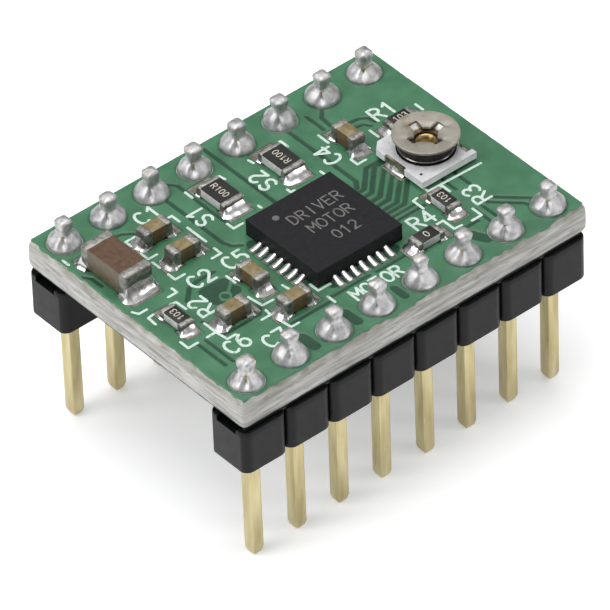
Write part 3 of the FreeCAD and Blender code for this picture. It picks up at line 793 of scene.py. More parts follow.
# A generic word in place of the module's label: word, centre, height.
BOARD_WORD = ("MOTOR", (-0.3, -5.2), 0.72)


def legend():
    """Labels and corner marks, printed on the mask."""
    print_lines = Strokes()
    for words, middle, turn in LABELS:
        write(print_lines, words, middle, LETTER_HEIGHT, LEGEND_WIDTH, turn)
    for run in BRACKETS:
        print_lines.line(run, BRACKET_WIDTH)
    words, middle, height = BOARD_WORD
    write(print_lines, words, middle, height, WORD_WIDTH)
    shape = printed(print_lines, lambda plan: BOARD_TOP + INK_RISE - edge_fall(plan),
                    lambda plan: mask_height(plan) - INK_SINK)
    piece("legend_print", shape, "legend")


board_core()
mask_top()
legend()


# ================================================================ header rows
HOUSING_BOTTOM = box("header_near_housing")[0].z
HOUSING_CORNER = 0.48
# The rounding of a block stops this many degrees short, at the notch to its neighbour.
NOTCH_TURN = 14
# The channel's walls stand this far inside the block under them.
WALL_DRAW = 0.004
RAIL_INSET = 0.25
RAIL_HEIGHT = 0.13
CHANNEL_WIDTH = 1.30
CHANNEL_DEPTH = 0.40
PIN_ROUNDING = 0.07
# Points in each ring of a solder joint.
JOINT_STEPS = 48


def notched_side(pins, half_width):
    """Corner points along one long side of a housing: one block per pin, rounded off at the notches."""
    run = []
    corner = HOUSING_CORNER
    for pin in pins:
        left, right = pin.x - PIN_PITCH / 2, pin.x + PIN_PITCH / 2
        run += arc(left + corner, half_width - corner, corner, corner, 180 - NOTCH_TURN, 90)
        run += arc(right - corner, half_width - corner, corner, corner, 90, NOTCH_TURN)
    return run


def housing(row):
    """A moulded strip of rounded blocks, one per pin, with a channel and two inset rails on top."""
    pins = PINS[row]
    shape = Shape()
    low, high = box("header_" + row + "_housing")
    middle = pins[0].y
    half = (high.y - low.y) / 2
    side = notched_side(pins, half)
    channel_floor = BOARD_BOTTOM - CHANNEL_DEPTH
    shoulder = BOARD_BOTTOM - RAIL_HEIGHT
    whole = [Vector((x, middle - y)) for x, y in side] + [Vector((x, middle + y)) for x, y in reversed(side)]
    prism(shape, whole, [(low.z, 0.06), (low.z + 0.015, 0.025), (low.z + 0.05, 0.0), (channel_floor, 0.0)])
    inner = CHANNEL_WIDTH / 2
    for sign in (-1, 1):
        wall = [Vector((x, middle + sign * y)) for x, y in side]
        wall += [Vector((wall[-1].x, middle + sign * inner)), Vector((wall[0].x, middle + sign * inner))]
        wall = wall if sign < 0 else list(reversed(wall))
        prism(shape, wall, [(channel_floor - 0.03, WALL_DRAW), (shoulder - 0.05, WALL_DRAW),
                            (shoulder - 0.015, 0.015 + WALL_DRAW), (shoulder, 0.05)])
        near, far = sorted((middle + sign * (inner + 0.1), middle + sign * (half - RAIL_INSET)))
        rail = rounded(rectangle(low.x + RAIL_INSET, near, high.x - RAIL_INSET, far), 0.05, 2)
        prism(shape, rail, [(shoulder - 0.02, 0.0), (BOARD_BOTTOM - 0.03, 0.0), (BOARD_BOTTOM, 0.03)])
    piece(row + "_row_housing", shape, "header_plastic",
                 ["header_" + row + "_housing"], smooth=30.0)


def rounded_square(x, y, z, half):
    """A level ring round a square with rounded corners."""
    outline = rounded(rectangle(x - half, y - half, x + half, y + half), min(PIN_ROUNDING, half * 0.4), 3)
    return [(p.x, p.y, z) for p in outline]


def pin_row(row):
    """Square pins with rounded edges and blunt, slightly uneven tips."""
    chance = random.Random(row + " pins")
    shape = Shape()
    half = PIN_SIDE / 2
    for pin in PINS[row]:
        tip = chance.uniform(0.12, 0.15)
        taper = chance.uniform(0.34, 0.42)
        lean = Vector((chance.uniform(-0.05, 0.05), chance.uniform(-0.04, 0.04), 0))
        # The blunt tip, its taper and the shank: height, and half the side there.
        stations = [(0.0, tip), (0.1 * taper, tip + 0.06), (0.35 * taper, tip + 0.125)]
        stations += [(0.7 * taper, half - 0.025), (taper, half)]
        stations += [(z, half) for z in (2.0, 4.0, HOUSING_BOTTOM + 0.1, BOARD_TOP + 0.6)]
        rings = []
        for z, size in stations:
            hang = max(0.0, 1 - z / HOUSING_BOTTOM)
            rings.append(rounded_square(pin.x + lean.x * hang, pin.y + lean.y * hang, z, size))
        loft(shape, rings)
    piece(row + "_row_pins", shape, "pin_gold", ["header_" + row + "_pins"])


def squarish(x, y, z, radius, squareness, wobble):
    """A ring between a circle (squareness 2) and a square, with an uneven edge."""
    points = []
    for i in range(JOINT_STEPS):
        turn = 2 * math.pi * i / JOINT_STEPS
        c, s = math.cos(turn), math.sin(turn)
        size = (abs(c) ** squareness + abs(s) ** squareness) ** (-1 / squareness)
        reach = radius * size * (1 + wobble(turn, z))
        points.append((x + c * reach, y + s * reach, z))
    return points


# A crease in the mound: half its width as an angle, its height above the board, and its reach up and down.
CREASE_TURN, CREASE_MIDDLE, CREASE_REACH = 0.19, 0.36, 0.25


def pin_joint(shape, pin, top, chance):
    """Solder on one pin: a mound, creased at the pin's corners, with a lumpy stem over the pin."""
    seed = chance.uniform(0, 90)
    base = RING_RADIUS + chance.uniform(0.0, 0.045)
    stem = chance.uniform(0.325, 0.35)
    shoulder = chance.uniform(0.52, 0.68)
    height = top - BOARD_TOP - chance.uniform(0.0, 0.08)
    creases = [chance.uniform(0.02, 0.09) for _ in range(4)]
    creases[2] = chance.uniform(0.26, 0.4)
    head = chance.uniform(0.0, 0.09)
    power, knee = chance.uniform(1.5, 2.4), chance.uniform(0.9, 1.3)
    squared = chance.uniform(0.6, 3.4)
    lean = Vector((chance.uniform(-0.04, 0.04), chance.uniform(-0.04, 0.04)))
    dome = chance.uniform(0.1, 0.2)

    def wobble(turn, z):
        spot = Vector((math.cos(turn), math.sin(turn), 0))
        ripple = noise.noise(spot * 2.8 + Vector((seed, 0, z * 1.1)))
        lumps = noise.noise(spot * 1.2 + Vector((0, seed, z * 2.4)))
        rise = max(0.0, z - BOARD_TOP)
        amount = min(1.0, rise / 0.25)
        corner = 0.0
        for k, depth in enumerate(creases):
            off = (turn - math.radians(45 + 90 * k) + math.pi) % (2 * math.pi) - math.pi
            corner += depth * math.exp(-(off / CREASE_TURN) ** 2)
        on_mound = math.exp(-((rise - CREASE_MIDDLE) / CREASE_REACH) ** 2)
        return (0.06 * ripple + 0.08 * lumps) * amount - corner * on_mound

    rings, levels = [], []
    heights = [PAD_TOP - 0.03 - BOARD_TOP, 0.0, 0.02]
    heights += [shoulder * k / 10 for k in range(1, 11)]
    heights += [shoulder + (height - dome - shoulder) * k / 7 for k in range(1, 8)]
    heights += [height - dome + dome * math.sin(math.radians(a)) for a in (25, 50, 70, 84, 90)]
    for z in heights:
        share = min(1.0, max(0.0, z) / shoulder)
        spread = (1 - share ** power) ** knee
        radius = stem + (base - stem) * spread
        swell = max(0.0, z - shoulder) / (height - shoulder)
        waist = 0.09 * math.sin(math.pi * min(1.0, 2 * swell))
        radius *= 1 - waist + head * math.sin(math.pi * max(0.0, swell - 0.4))
        if z > height - dome:
            radius *= max(0.12, math.sqrt(max(0.0, 1 - ((z - height + dome) / dome) ** 2)) ** 0.7)
        squareness = 2 + squared * (1 - spread) ** 2
        centre = pin.xy + lean * min(1.0, max(0.0, z) / height)
        rings.append(squarish(centre.x, centre.y, BOARD_TOP + z, radius, squareness, wobble))
        levels += [min(1.0, max(0.0, (z - 0.6 * height) / (0.3 * height)))] * JOINT_STEPS
    loft(shape, rings, levels)


def joint_row(row):
    """Solder on every pin of a row."""
    chance = random.Random(row + " solder")
    shape = Shape()
    top = box("header_" + row + "_pins")[1].z
    for pin in PINS[row]:
        pin_joint(shape, pin, top, chance)
    piece(row + "_row_solder", shape, "joint_solder",
                 ["header_" + row + "_solder"], smooth=60.0)


for row_name in PINS:
    housing(row_name)
    pin_row(row_name)
    joint_row(row_name)


# ================================================================ two-ended chips
# Length of the metal at each end of a capacitor.
CAPACITORS = {
    "bulk_capacitor": 0.50, "supply_capacitor": 0.40, "regulator_capacitor": 0.40,
    "charge_pump_capacitor": 0.40, "gate_supply_capacitor": 0.40, "logic_capacitor": 0.40,
    "reference_capacitor": 0.40,
}
# The code printed on a resistor, and its turn in degrees.
RESISTORS = {
    "sense_resistor_a": ("R100", -90), "sense_resistor_b": ("R100", 90), "reference_resistor": ("103", 0),
    "decay_resistor": ("103", 90), "limit_resistor": ("103", 90), "jumper_resistor": ("0", 0),
}
# How far a chip's metal ends stand out from its body.
SKIN = 0.03
# How far a capacitor's body stops short inside its metal ends.
CERAMIC_SHORT = 0.08
# Height of the ink's face and of its foot over the top of a resistor's ends.
CODE_TOP, CODE_FOOT = 0.016, 0.004
# Solder along the sides of a chip's ends: how far it stands out, and the share of the metal it covers.
BULK_SIDE_REACH, SIDE_REACH, SIDE_COVER = 0.14, 0.04, 0.7
FILLET_CORNER = 0.08
# Thickness of a fillet's outer rim.
FILLET_TOE = 0.035


class Chip:
    """Where a chip lies: its size and place come from the box of its two metal ends."""

    def __init__(self, name):
        low, high = box(name + "_ends")
        size = high - low
        self.name = name
        turn = 90.0 if size.y > size.x else 0.0
        self.length, self.width = max(size.x, size.y), min(size.x, size.y)
        self.bottom, self.top = low.z, high.z
        self.middle = (low + high) / 2
        self.place = Matrix.Translation((self.middle.x, self.middle.y, 0))
        self.place = self.place @ Matrix.Rotation(math.radians(turn), 4, "Z")

    def band(self):
        """Length of the metal at each end."""
        if self.name in CAPACITORS:
            return CAPACITORS[self.name]
        low, high = box(self.name + "_overcoat")
        return (self.length - max(high.x - low.x, high.y - low.y)) / 2


def slab_between(shape, low, high, edge, corner):
    """A block with rounded upright edges and softened rims, between two corners. level is 1 on its top."""
    outline = rounded(rectangle(low[0], low[1], high[0], high[1]), corner, 3)
    stages = [(low[2], edge), (low[2] + 0.3 * edge, 0.3 * edge), (low[2] + edge, 0.0)]
    stages += [(high[2] - edge, 0.0), (high[2] - 0.3 * edge, 0.3 * edge), (high[2], edge)]
    level = [1.0 if height == high[2] else 0.0 for height, _ in stages for _ in outline]
    prism(shape, outline, stages, level)


def end_cap(shape, chip, side, seed):
    """Metal over one end of a chip: a rounded box whose inner rim wanders a little."""
    band = chip.band()
    half_length, half_width = chip.length / 2, chip.width / 2
    half_height = (chip.top - chip.bottom) / 2
    middle = (chip.top + chip.bottom) / 2
    softness = min(0.13, 0.2 * half_height + 0.06)
    # From the inner rim out to the face: depth behind the face, and how far the section draws in.
    stations = [(band + 0.02, 0.05), (band, 0.015), (band - 0.05, 0.0), (softness, 0.0),
                (0.45 * softness, 0.16 * softness), (0.14 * softness, 0.45 * softness), (0.0, softness)]
    rings, levels = [], []
    for depth, drawn_in in stations:
        hy, hz = half_width - drawn_in, half_height - drawn_in
        outline = rounded(rectangle(-hy, -hz, hy, hz), 0.1, 4)
        ring = []
        for p in outline:
            wander = noise.noise(Vector((p.x * 1.6, p.y * 1.6, seed))) * 0.09 if depth > band - 0.03 else 0.0
            dent = 0.025 * noise.noise(Vector((p.x * 3.0, p.y * 3.0, seed + depth * 4)))
            ring.append((side * (half_length - depth - wander), p.x * (1 + dent), middle + p.y * (1 + dent)))
            # level 1 on the top faces, painted lighter as painted light.
            levels.append(1.0 if p.y > hz - 0.02 and depth > 0.5 * softness else 0.0)
        rings.append(ring)
    loft(shape, rings, levels)


chip_solder = Shape()


def end_fillet(chip, side, reach, climb, seed):
    """Solder that climbs one end of a chip, thick in front of it and thin along its sides."""
    half_length, half_width = chip.length / 2, chip.width / 2
    corner = FILLET_CORNER
    along = chip.band() * SIDE_COVER
    # Places round the end: x, y, the way the solder faces in degrees, and its share of the full reach.
    stations = []
    for k in range(4):
        stations.append((half_length - corner - along * (1 - k / 4), -half_width, -90.0, 0.25 * k / 4))
    for k in range(5):
        turn = -90.0 + 90.0 * k / 4
        x = half_length - corner + corner * math.cos(math.radians(turn))
        y = -half_width + corner + corner * math.sin(math.radians(turn))
        stations.append((x, y, turn, 0.25 + 0.6 * k / 4))
    for k in range(1, 6):
        share = k / 6
        y = (corner - half_width) + (half_width - corner) * share
        stations.append((half_length, y, 0.0, 0.85 + 0.15 * share))
    mirrored = [(x, -y, -turn, weight) for x, y, turn, weight in reversed(stations)]
    stations += [(half_length, 0.0, 0.0, 1.0)] + mirrored
    side_reach = BULK_SIDE_REACH if chip.name == "bulk_capacitor" else SIDE_REACH
    steps = 7
    rings = []
    for x, y, turn, weight in stations:
        heading = Vector((math.cos(math.radians(turn)), math.sin(math.radians(turn))))
        uneven = noise.noise(Vector((x * 1.7, y * 2.3, seed)))
        far = side_reach + (reach - side_reach) * weight * (1 + 0.16 * uneven)
        tall = climb * (0.35 + 0.65 * weight) * (1 + 0.12 * uneven)
        ring = [(x - 0.05 * heading.x, y - 0.05 * heading.y, PAD_TOP)]
        ring.append((x + far * heading.x, y + far * heading.y, PAD_TOP))
        for k in range(steps):
            share = 1 - k / (steps - 1)
            height = FILLET_TOE * min(1.0, 6 * (1 - share)) + (tall - FILLET_TOE) * (1 - share) ** 1.9
            out = far * share - 0.03 * (1 - share)
            ring.append((x + out * heading.x, y + out * heading.y, PAD_TOP + height))
        rings.append([(side * px, py, pz) for px, py, pz in ring])
    loft(chip_solder, rings)


# Solder at the ends of the chips: reach and climb at the low end and at the high end of its long axis.
SOLDER_SHARE = {
    "bulk_capacitor": ((0.46, 0.75), (0.46, 0.85)),
    "sense_resistor_a": ((0.47, 0.42), (0.16, 0.34)), "sense_resistor_b": ((0.47, 0.42), (0.20, 0.34)),
    "decay_resistor": ((0.36, 0.34), (0.20, 0.28)), "limit_resistor": ((0.36, 0.34), (0.18, 0.28)),
    "jumper_resistor": ((0.38, 0.36), (0.22, 0.30)), "reference_resistor": ((0.30, 0.30), (0.30, 0.30)),
}
CAPACITOR_SOLDER = ((0.36, 0.50), (0.30, 0.42))


def finish_ends(chip, seed):
    """Solder at both ends of a chip, and their metal."""
    chip_solder.place = chip.place
    low_end, high_end = SOLDER_SHARE.get(chip.name, CAPACITOR_SOLDER)
    for side, (reach, climb) in ((-1, low_end), (1, high_end)):
        end_fillet(chip, side, reach, climb, seed + side)
    chip_solder.place = Matrix.Identity(4)
    shape = Shape(chip.place)
    for side in (-1, 1):
        end_cap(shape, chip, side, seed + 3 * side)
    piece(chip.name + "_end_metal", shape, "end_tin", [chip.name + "_ends"], smooth=50.0)


def capacitor(name, seed):
    """A ceramic block between two metal ends."""
    chip = Chip(name)
    half_length, half_width = chip.length / 2 - CERAMIC_SHORT, chip.width / 2 - SKIN
    shape = Shape(chip.place)
    # level 1 on the top; top and sides are painted as lit and shaded copies of the ceramic.
    slab_between(shape, (-half_length, -half_width, chip.bottom + SKIN),
                 (half_length, half_width, chip.top - SKIN), 0.05, 0.05)
    is_bulk = name == "bulk_capacitor"
    finish, slot = ("bulk_ceramic", "bulk_ceramic") if is_bulk else ("small_ceramic", "capacitor_ceramic")
    piece(name + "_block", shape, finish, [name + "_ceramic"])
    finish_ends(chip, seed)


def resistor(name, seed):
    """A pale base between two metal ends, under a black coat with a printed code."""
    chip = Chip(name)
    half_length, half_width = chip.length / 2, chip.width / 2
    base = Shape(chip.place)
    slab_between(base, (SKIN - half_length, SKIN - half_width, chip.bottom + SKIN),
                 (half_length - SKIN, half_width - SKIN, chip.top - SKIN), 0.02, 0.03)
    piece(name + "_base", base, "alumina", [name + "_substrate"])
    finish_ends(chip, seed)
    coat = Shape(chip.place)
    half_coat = half_length - chip.band() + 0.03
    slab_between(coat, (-half_coat, 0.045 - half_width, chip.top - 2 * SKIN),
                 (half_coat, half_width - 0.045, chip.top + 0.012), 0.022, 0.06)
    piece(name + "_coat", coat, "overcoat", [name + "_overcoat"])
    code, turn = RESISTORS[name]
    height = min(0.46 * chip.width, 0.8 * (chip.length - 2 * chip.band()) / (len(code) * LETTER_STEP))
    ink = Strokes()
    write(ink, code, chip.middle.xy, height, 0.13 * height, turn)
    shape = printed(ink, flat(chip.top + CODE_TOP), flat(chip.top + CODE_FOOT), 4)
    piece(name + "_value", shape, "value_ink")


for number, chip_name in enumerate(CAPACITORS):
    capacitor(chip_name, 7.0 + 5 * number)
for number, chip_name in enumerate(RESISTORS):
    resistor(chip_name, 61.0 + 5 * number)


# ================================================================ driver chip
CHIP_LOW, CHIP_HIGH = box("driver_ic_body")
CHIP_MIDDLE = (CHIP_LOW + CHIP_HIGH) / 2
CHIP_WORDS = [("DRIVER", (0.35, 1.02), 0.62), ("MOTOR", (0.4, 0.02), 0.62), ("012", (0.4, -1.03), 0.60)]
# The dot: its place from the chip's middle, its radius, the depth and width of its slope, and its points.
DOT_PLACE, DOT_RADIUS, DOT_SLOPE, DOT_STEPS = Vector((-1.42, 1.65)), 0.20, 0.02, 28
CHIP_EDGE = 0.025


def chip_body():
    """Black moulded square with crisp edges and a shallow dot at one corner."""
    shape = Shape()
    dot = CHIP_MIDDLE.xy + DOT_PLACE
    dot_edge = circle(dot.x, dot.y, DOT_RADIUS, DOT_STEPS)
    dot_floor = circle(dot.x, dot.y, DOT_RADIUS - DOT_SLOPE, DOT_STEPS)

    def top(plan):
        height = np.full(len(plan), CHIP_HIGH.z)
        height -= DOT_SLOPE * np.clip((DOT_RADIUS - away(plan, dot)) / DOT_SLOPE, 0, 1)
        from_middle = np.abs(plan - np.array(CHIP_MIDDLE.xy)).max(axis=1)
        half = (CHIP_HIGH.x - CHIP_LOW.x) / 2
        return height - np.clip(from_middle - (half - CHIP_EDGE), 0, CHIP_EDGE)

    body = rounded(rectangle(*CHIP_LOW.xy, *CHIP_HIGH.xy), 0.04, 2)
    rim = inset(body, CHIP_EDGE)
    sheet(shape, [body, rim, dot_edge, dot_floor], lambda plan: contains(body, plan), top, flat(CHIP_LOW.z))
    piece("driver_chip_body", shape, "chip_mould", ["driver_ic_body"], smooth=25.0)


def chip_marking():
    """Generic words, as if marked by laser, and the pale floor of the dot."""
    marks = Strokes()
    for words, offset, height in CHIP_WORDS:
        write(marks, words, CHIP_MIDDLE.xy + Vector(offset), height, 0.12 * height)
    shape = printed(marks, flat(CHIP_HIGH.z + 0.003), flat(CHIP_HIGH.z - 0.006), 4)
    piece("driver_chip_marking", shape, "chip_mark")
    dot = CHIP_MIDDLE.xy + DOT_PLACE
    floor = Shape()
    profile = [(DOT_RADIUS - 0.03, CHIP_HIGH.z - depth) for depth in (0.024, 0.016)]
    turned(floor, dot.x, dot.y, profile, DOT_STEPS)
    piece("driver_chip_dot", floor, "pin_dot")


# Half the width of a lead, and the solder's overlap with it, which is also its thickness near the toe.
LEAD_HALF, TOE_FILM = 0.125, 0.03


def lead_toes():
    """Solder out in front of each lead: a narrow tongue that thins towards its toe."""
    chance = random.Random("lead toes")
    top = box("driver_ic_leads")[1].z
    for low, high in islands("driver_ic_leads"):
        middle = (low + high) / 2
        outwards = middle.xy - CHIP_MIDDLE.xy
        if abs(outwards.x) > abs(outwards.y):
            heading = Vector((math.copysign(1, outwards.x), 0))
        else:
            heading = Vector((0, math.copysign(1, outwards.y)))
        across = Vector((-heading.y, heading.x))
        face = middle.xy + heading * (high - low).xy.dot(Vector((abs(heading.x), abs(heading.y)))) / 2
        reach = chance.uniform(0.55, 0.6)
        climb = (top - PAD_TOP) * chance.uniform(0.8, 1.1)
        skew = chance.uniform(-0.02, 0.02)
        rings = []
        for k in range(9):
            share = k / 8
            out = -TOE_FILM + reach * share
            width = (LEAD_HALF + TOE_FILM) * (1 - 0.18 * share ** 3)
            height = TOE_FILM + (climb - TOE_FILM) * (1 - share) ** 1.6
            if share == 1:
                width, height = width * 0.8, 0.012
            ring = []
            for step in range(9):
                turn = math.pi * step / 8
                side = math.cos(turn) * width
                rise = max(0.0, math.sin(turn)) ** 0.6 * height
                spot = face + heading * out + across * (side + skew * share)
                ring.append((spot.x, spot.y, PAD_TOP + rise))
            rings.append(ring)
        loft(chip_solder, rings)


chip_body()
chip_marking()
lead_toes()


# ================================================================ trimmer
SLAB_LOW, SLAB_HIGH = box("trimmer_slab")
ROTOR_LOW, ROTOR_HIGH = box("trimmer_rotor")
AXIS = (ROTOR_LOW.xy + ROTOR_HIGH.xy) / 2
FLANGE_RADIUS = (ROTOR_HIGH.x - ROTOR_LOW.x) / 2
FLANGE_THICKNESS = 0.12
UNDER_FLANGE = ROTOR_HIGH.z - FLANGE_THICKNESS
DRUM_RADIUS, DRUM_BORE = 1.28, 1.12
SLOT_LENGTH, SLOT_WIDTH = 1.92, 0.50
RECESS_RADIUS = 0.55
# The flange is pressed down towards the recess between the arms of the slot.
DIP_RADIUS, DIP_DEPTH = 0.86, 0.13
# The pressed-on flange leans up a little towards one side.
LEAN = math.tan(math.radians(1.5)) * Vector((-0.63, -0.776))
WIPER_NOTCH_DEPTH, END_NOTCH_DEPTH = 0.15, 0.34
SLAB_CORNER = 0.42
# A printed dot on the slab, from the slab's corner.
SLAB_DOT = (0.36, 0.5)
# Points in each ring of the rotor.
ROTOR_STEPS = 72
END_TERMINALS = islands("trimmer_end_terminals")
WIPER_TERMINAL = box("trimmer_wiper_terminal")
NOTCH_ROOM = 0.05


def slab_outline():
    """Ceramic outline with a notch for each terminal and one corner cut off, counter-clockwise."""
    points = [(SLAB_LOW.x, SLAB_LOW.y), (SLAB_HIGH.x, SLAB_LOW.y)]
    inner = SLAB_HIGH.x - END_NOTCH_DEPTH
    for low, high in sorted(END_TERMINALS, key=lambda pair: pair[0].y):
        y0, y1 = low.y - NOTCH_ROOM, high.y + NOTCH_ROOM
        points += [(SLAB_HIGH.x, y0), (inner, y0), (inner, y1), (SLAB_HIGH.x, y1)]
    points += [(SLAB_HIGH.x, SLAB_HIGH.y), (SLAB_LOW.x + SLAB_CORNER, SLAB_HIGH.y)]
    points += [(SLAB_LOW.x, SLAB_HIGH.y - SLAB_CORNER)]
    low, high = WIPER_TERMINAL
    y0, y1 = low.y - NOTCH_ROOM, high.y + NOTCH_ROOM
    inner = SLAB_LOW.x + WIPER_NOTCH_DEPTH
    points += [(SLAB_LOW.x, y1), (inner, y1), (inner, y0), (SLAB_LOW.x, y0)]
    return [Vector(point) for point in points]


def trimmer_base():
    """The ceramic slab, with its sides painted lighter than its top as painted light, and its printed dot.
    """
    shape = Shape()
    outline = rounded(slab_outline(), 0.04, 2)
    sides = [(SLAB_LOW.z, 0.03), (SLAB_LOW.z + 0.03, 0.0), (SLAB_HIGH.z - 0.041, 0.0)]
    top_stages = [(SLAB_HIGH.z - 0.04, 0.0), (SLAB_HIGH.z - 0.01, 0.01), (SLAB_HIGH.z, 0.035)]
    # Sides at level 0 are painted lighter than the top, at level 1, as painted light.
    level = [share for share, stages in ((0.0, sides), (1.0, top_stages)) for _ in stages for _ in outline]
    prism(shape, outline, sides + top_stages, level)
    piece("trimmer_ceramic_slab", shape, "trimmer_ceramic", ["trimmer_slab"])
    dot = Shape()
    profile = [(0.07, SLAB_HIGH.z - 0.02), (0.07, SLAB_HIGH.z + 0.004), (0.05, SLAB_HIGH.z + 0.008)]
    turned(dot, SLAB_LOW.x + SLAB_DOT[0], SLAB_LOW.y + SLAB_DOT[1], profile, 16)
    piece("trimmer_slab_dot", dot, "ink_track")


def slot_outline(grow=0.0):
    """Outline of the cross slot, opened out round the rivet's head, about the rotor's axis."""
    reach, half, recess = SLOT_LENGTH / 2 + grow, SLOT_WIDTH / 2 + grow, RECESS_RADIUS + grow
    first = math.degrees(math.asin(half / recess))
    outline = []
    for quarter in range(4):
        turning = Matrix.Rotation(math.radians(90 * quarter), 2)
        side = [(reach, -half), (reach, half)] + arc(0, 0, recess, recess, first, 90 - first, 5)
        outline += [AXIS + turning @ Vector(point) for point in side]
    return outline


def beyond_slot(plan):
    """How far each point of a plan lies outside the slot."""
    x, y = np.abs(plan - np.array(AXIS)).T
    reach, half = SLOT_LENGTH / 2, SLOT_WIDTH / 2
    arms = [np.maximum(x - reach, y - half), np.maximum(y - reach, x - half)]
    return np.minimum.reduce(arms + [np.hypot(x, y) - RECESS_RADIUS])


def leaned(plan):
    """How much the lean of the flange lifts it at each point of a plan."""
    return (plan - np.array(AXIS)) @ np.array(LEAN)


def rotor_cap():
    """Steel flange with the cross slot cut through it, dished a little round the recess."""
    rim, bevel, lip = FLANGE_RADIUS, FLANGE_RADIUS - 0.03, 0.03
    slot = rounded(slot_outline(), 0.05, 2)
    dips = [RECESS_RADIUS + (DIP_RADIUS - RECESS_RADIUS) * k / 4 for k in range(1, 5)]
    circles = [circle(AXIS.x, AXIS.y, radius, ROTOR_STEPS) for radius in [rim, bevel] + dips]

    def top(plan):
        radius = away(plan, AXIS)
        fall = 0.02 * np.clip((radius - bevel) / (rim - bevel), 0, 1)
        into_slot = 0.025 * np.clip(1 - beyond_slot(plan) / lip, 0, 1)
        dip = DIP_DEPTH * np.clip((DIP_RADIUS - radius) / (DIP_RADIUS - RECESS_RADIUS), 0, 1) ** 1.3
        return ROTOR_HIGH.z - 0.01 + leaned(plan) - fall - into_slot - dip

    shape = Shape()
    sheet(shape, circles + [slot, rounded(slot_outline(lip), 0.06, 2)],
          lambda plan: contains(circles[0], plan) & ~contains(slot, plan), top,
          lambda plan: top(plan) - FLANGE_THICKNESS + 0.02)
    piece("trimmer_rotor_flange", shape, "rotor_steel", ["trimmer_rotor"], "rotor", 30.0)


def turned_parts(shape, profile, steps=ROTOR_STEPS):
    """A closed profile of (radius, height, level) turned about the rotor's axis."""
    rings, levels = [], []
    for radius, z, level in profile:
        rings.append([(p.x, p.y, z) for p in circle(AXIS.x, AXIS.y, radius, steps)])
        levels += [float(level)] * steps
    loft(shape, rings, levels, closed=True)


def rotor_drum():
    """The drum under the flange, steel painted dark as painted shade, with a rib round its foot painted
    paler as a painted highlight.
    """
    foot, top = ROTOR_LOW.z, UNDER_FLANGE - 0.02
    shape = Shape()
    # level 1 on the foot rib, painted lighter as a painted highlight.
    turned_parts(shape, [
        (DRUM_BORE, foot + 0.02, 0), (DRUM_RADIUS + 0.04, foot, 0), (DRUM_RADIUS + 0.055, foot + 0.03, 1),
        (DRUM_RADIUS + 0.03, foot + 0.07, 1), (DRUM_RADIUS - 0.02, foot + 0.09, 0),
        (DRUM_RADIUS - 0.04, foot + 0.3, 0), (DRUM_RADIUS - 0.02, top - 0.12, 0),
        (DRUM_RADIUS + 0.03, top - 0.03, 0), (DRUM_RADIUS + 0.05, top, 0), (DRUM_BORE, top, 0)])
    piece("trimmer_rotor_drum", shape, "drum_steel", (), "rotor")


def slot_floor():
    """The dish under the cross slot: slopes at the ends of the arms painted near white as a painted
    highlight, darker brown round the rivet's head.
    """
    top = ROTOR_HIGH.z
    shape = Shape()
    # level 1 on the outer slopes, painted near white as a painted highlight.
    turned_parts(shape, [
        (1.10, top - 0.14, 1), (1.06, top - 0.15, 1), (0.98, top - 0.20, 1), (0.88, top - 0.275, 1),
        (0.80, top - 0.33, 0.8), (0.72, top - 0.375, 0), (0.64, top - 0.41, 0), (0.585, top - 0.43, 0),
        (0.57, top - 0.46, 0), (0.57, top - 0.56, 0), (1.10, top - 0.56, 0)])
    piece("trimmer_slot_floor", shape, "slot_metal", (), "rotor")


def rivet_head():
    """Brass eyelet: a rolled rim and a funnel that narrows into its bore, and its shank through the slab."""
    low, high = box("trimmer_rivet")
    bore, shank, foot = 0.20, 0.35, 0.08
    rim = high.z - 0.09
    shape = Shape()
    turned_parts(shape, [
        (bore, low.z, 0), (high.x - AXIS.x, low.z, 0), (high.x - AXIS.x, low.z + foot, 0),
        (shank, low.z + 0.1, 0), (shank, rim - 0.17, 0), (0.47, rim - 0.13, 0), (0.515, rim - 0.07, 0),
        (0.51, rim - 0.02, 0),
        (0.47, rim, 0), (0.42, rim - 0.015, 0), (0.37, rim - 0.07, 0), (0.32, rim - 0.15, 0),
        (0.28, rim - 0.24, 0), (0.24, rim - 0.34, 0)], 48)
    piece("trimmer_rivet_body", shape, "brass", ["trimmer_rivet"])


def terminal_solder(low, high, side, spread, seed, climb=0.46):
    """A lump of solder against a terminal's leg, spread over its pad."""
    leg = high.x if side > 0 else low.x
    edge = SLAB_HIGH.x if side > 0 else SLAB_LOW.x
    reach = abs(edge - leg) + spread
    rings = []
    for k in range(17):
        across = k / 16
        y = low.y + (high.y - low.y) * across
        fade = math.sin(math.pi * min(1.0, max(0.0, 0.08 + 0.84 * across))) ** 0.5
        uneven = 1 + 0.9 * noise.noise(Vector((y * 3.4, seed, 0)))
        ring = [(leg - side * 0.05, y, PAD_TOP), (leg + side * reach * fade, y, PAD_TOP)]
        for step in range(6):
            share = 1 - step / 5
            rise = 0.03 + (climb * fade * uneven - 0.03) * (1 - share) ** 1.7
            ring.append((leg + side * (reach * fade * share - 0.03 * (1 - share)), y, PAD_TOP + rise))
        rings.append(ring)
    loft(chip_solder, rings)


trimmer_base()
rotor_cap()
rotor_drum()
slot_floor()
rivet_head()
terminal_solder(*WIPER_TERMINAL, -1, 0.12, 4.0, 0.34)
for number, (terminal_low, terminal_high) in enumerate(END_TERMINALS):
    terminal_solder(terminal_low, terminal_high, 1, 0.30, 9.0 + number)
piece("chip_solder", chip_solder, "chip_solder", ["smd_solder"], smooth=60.0)


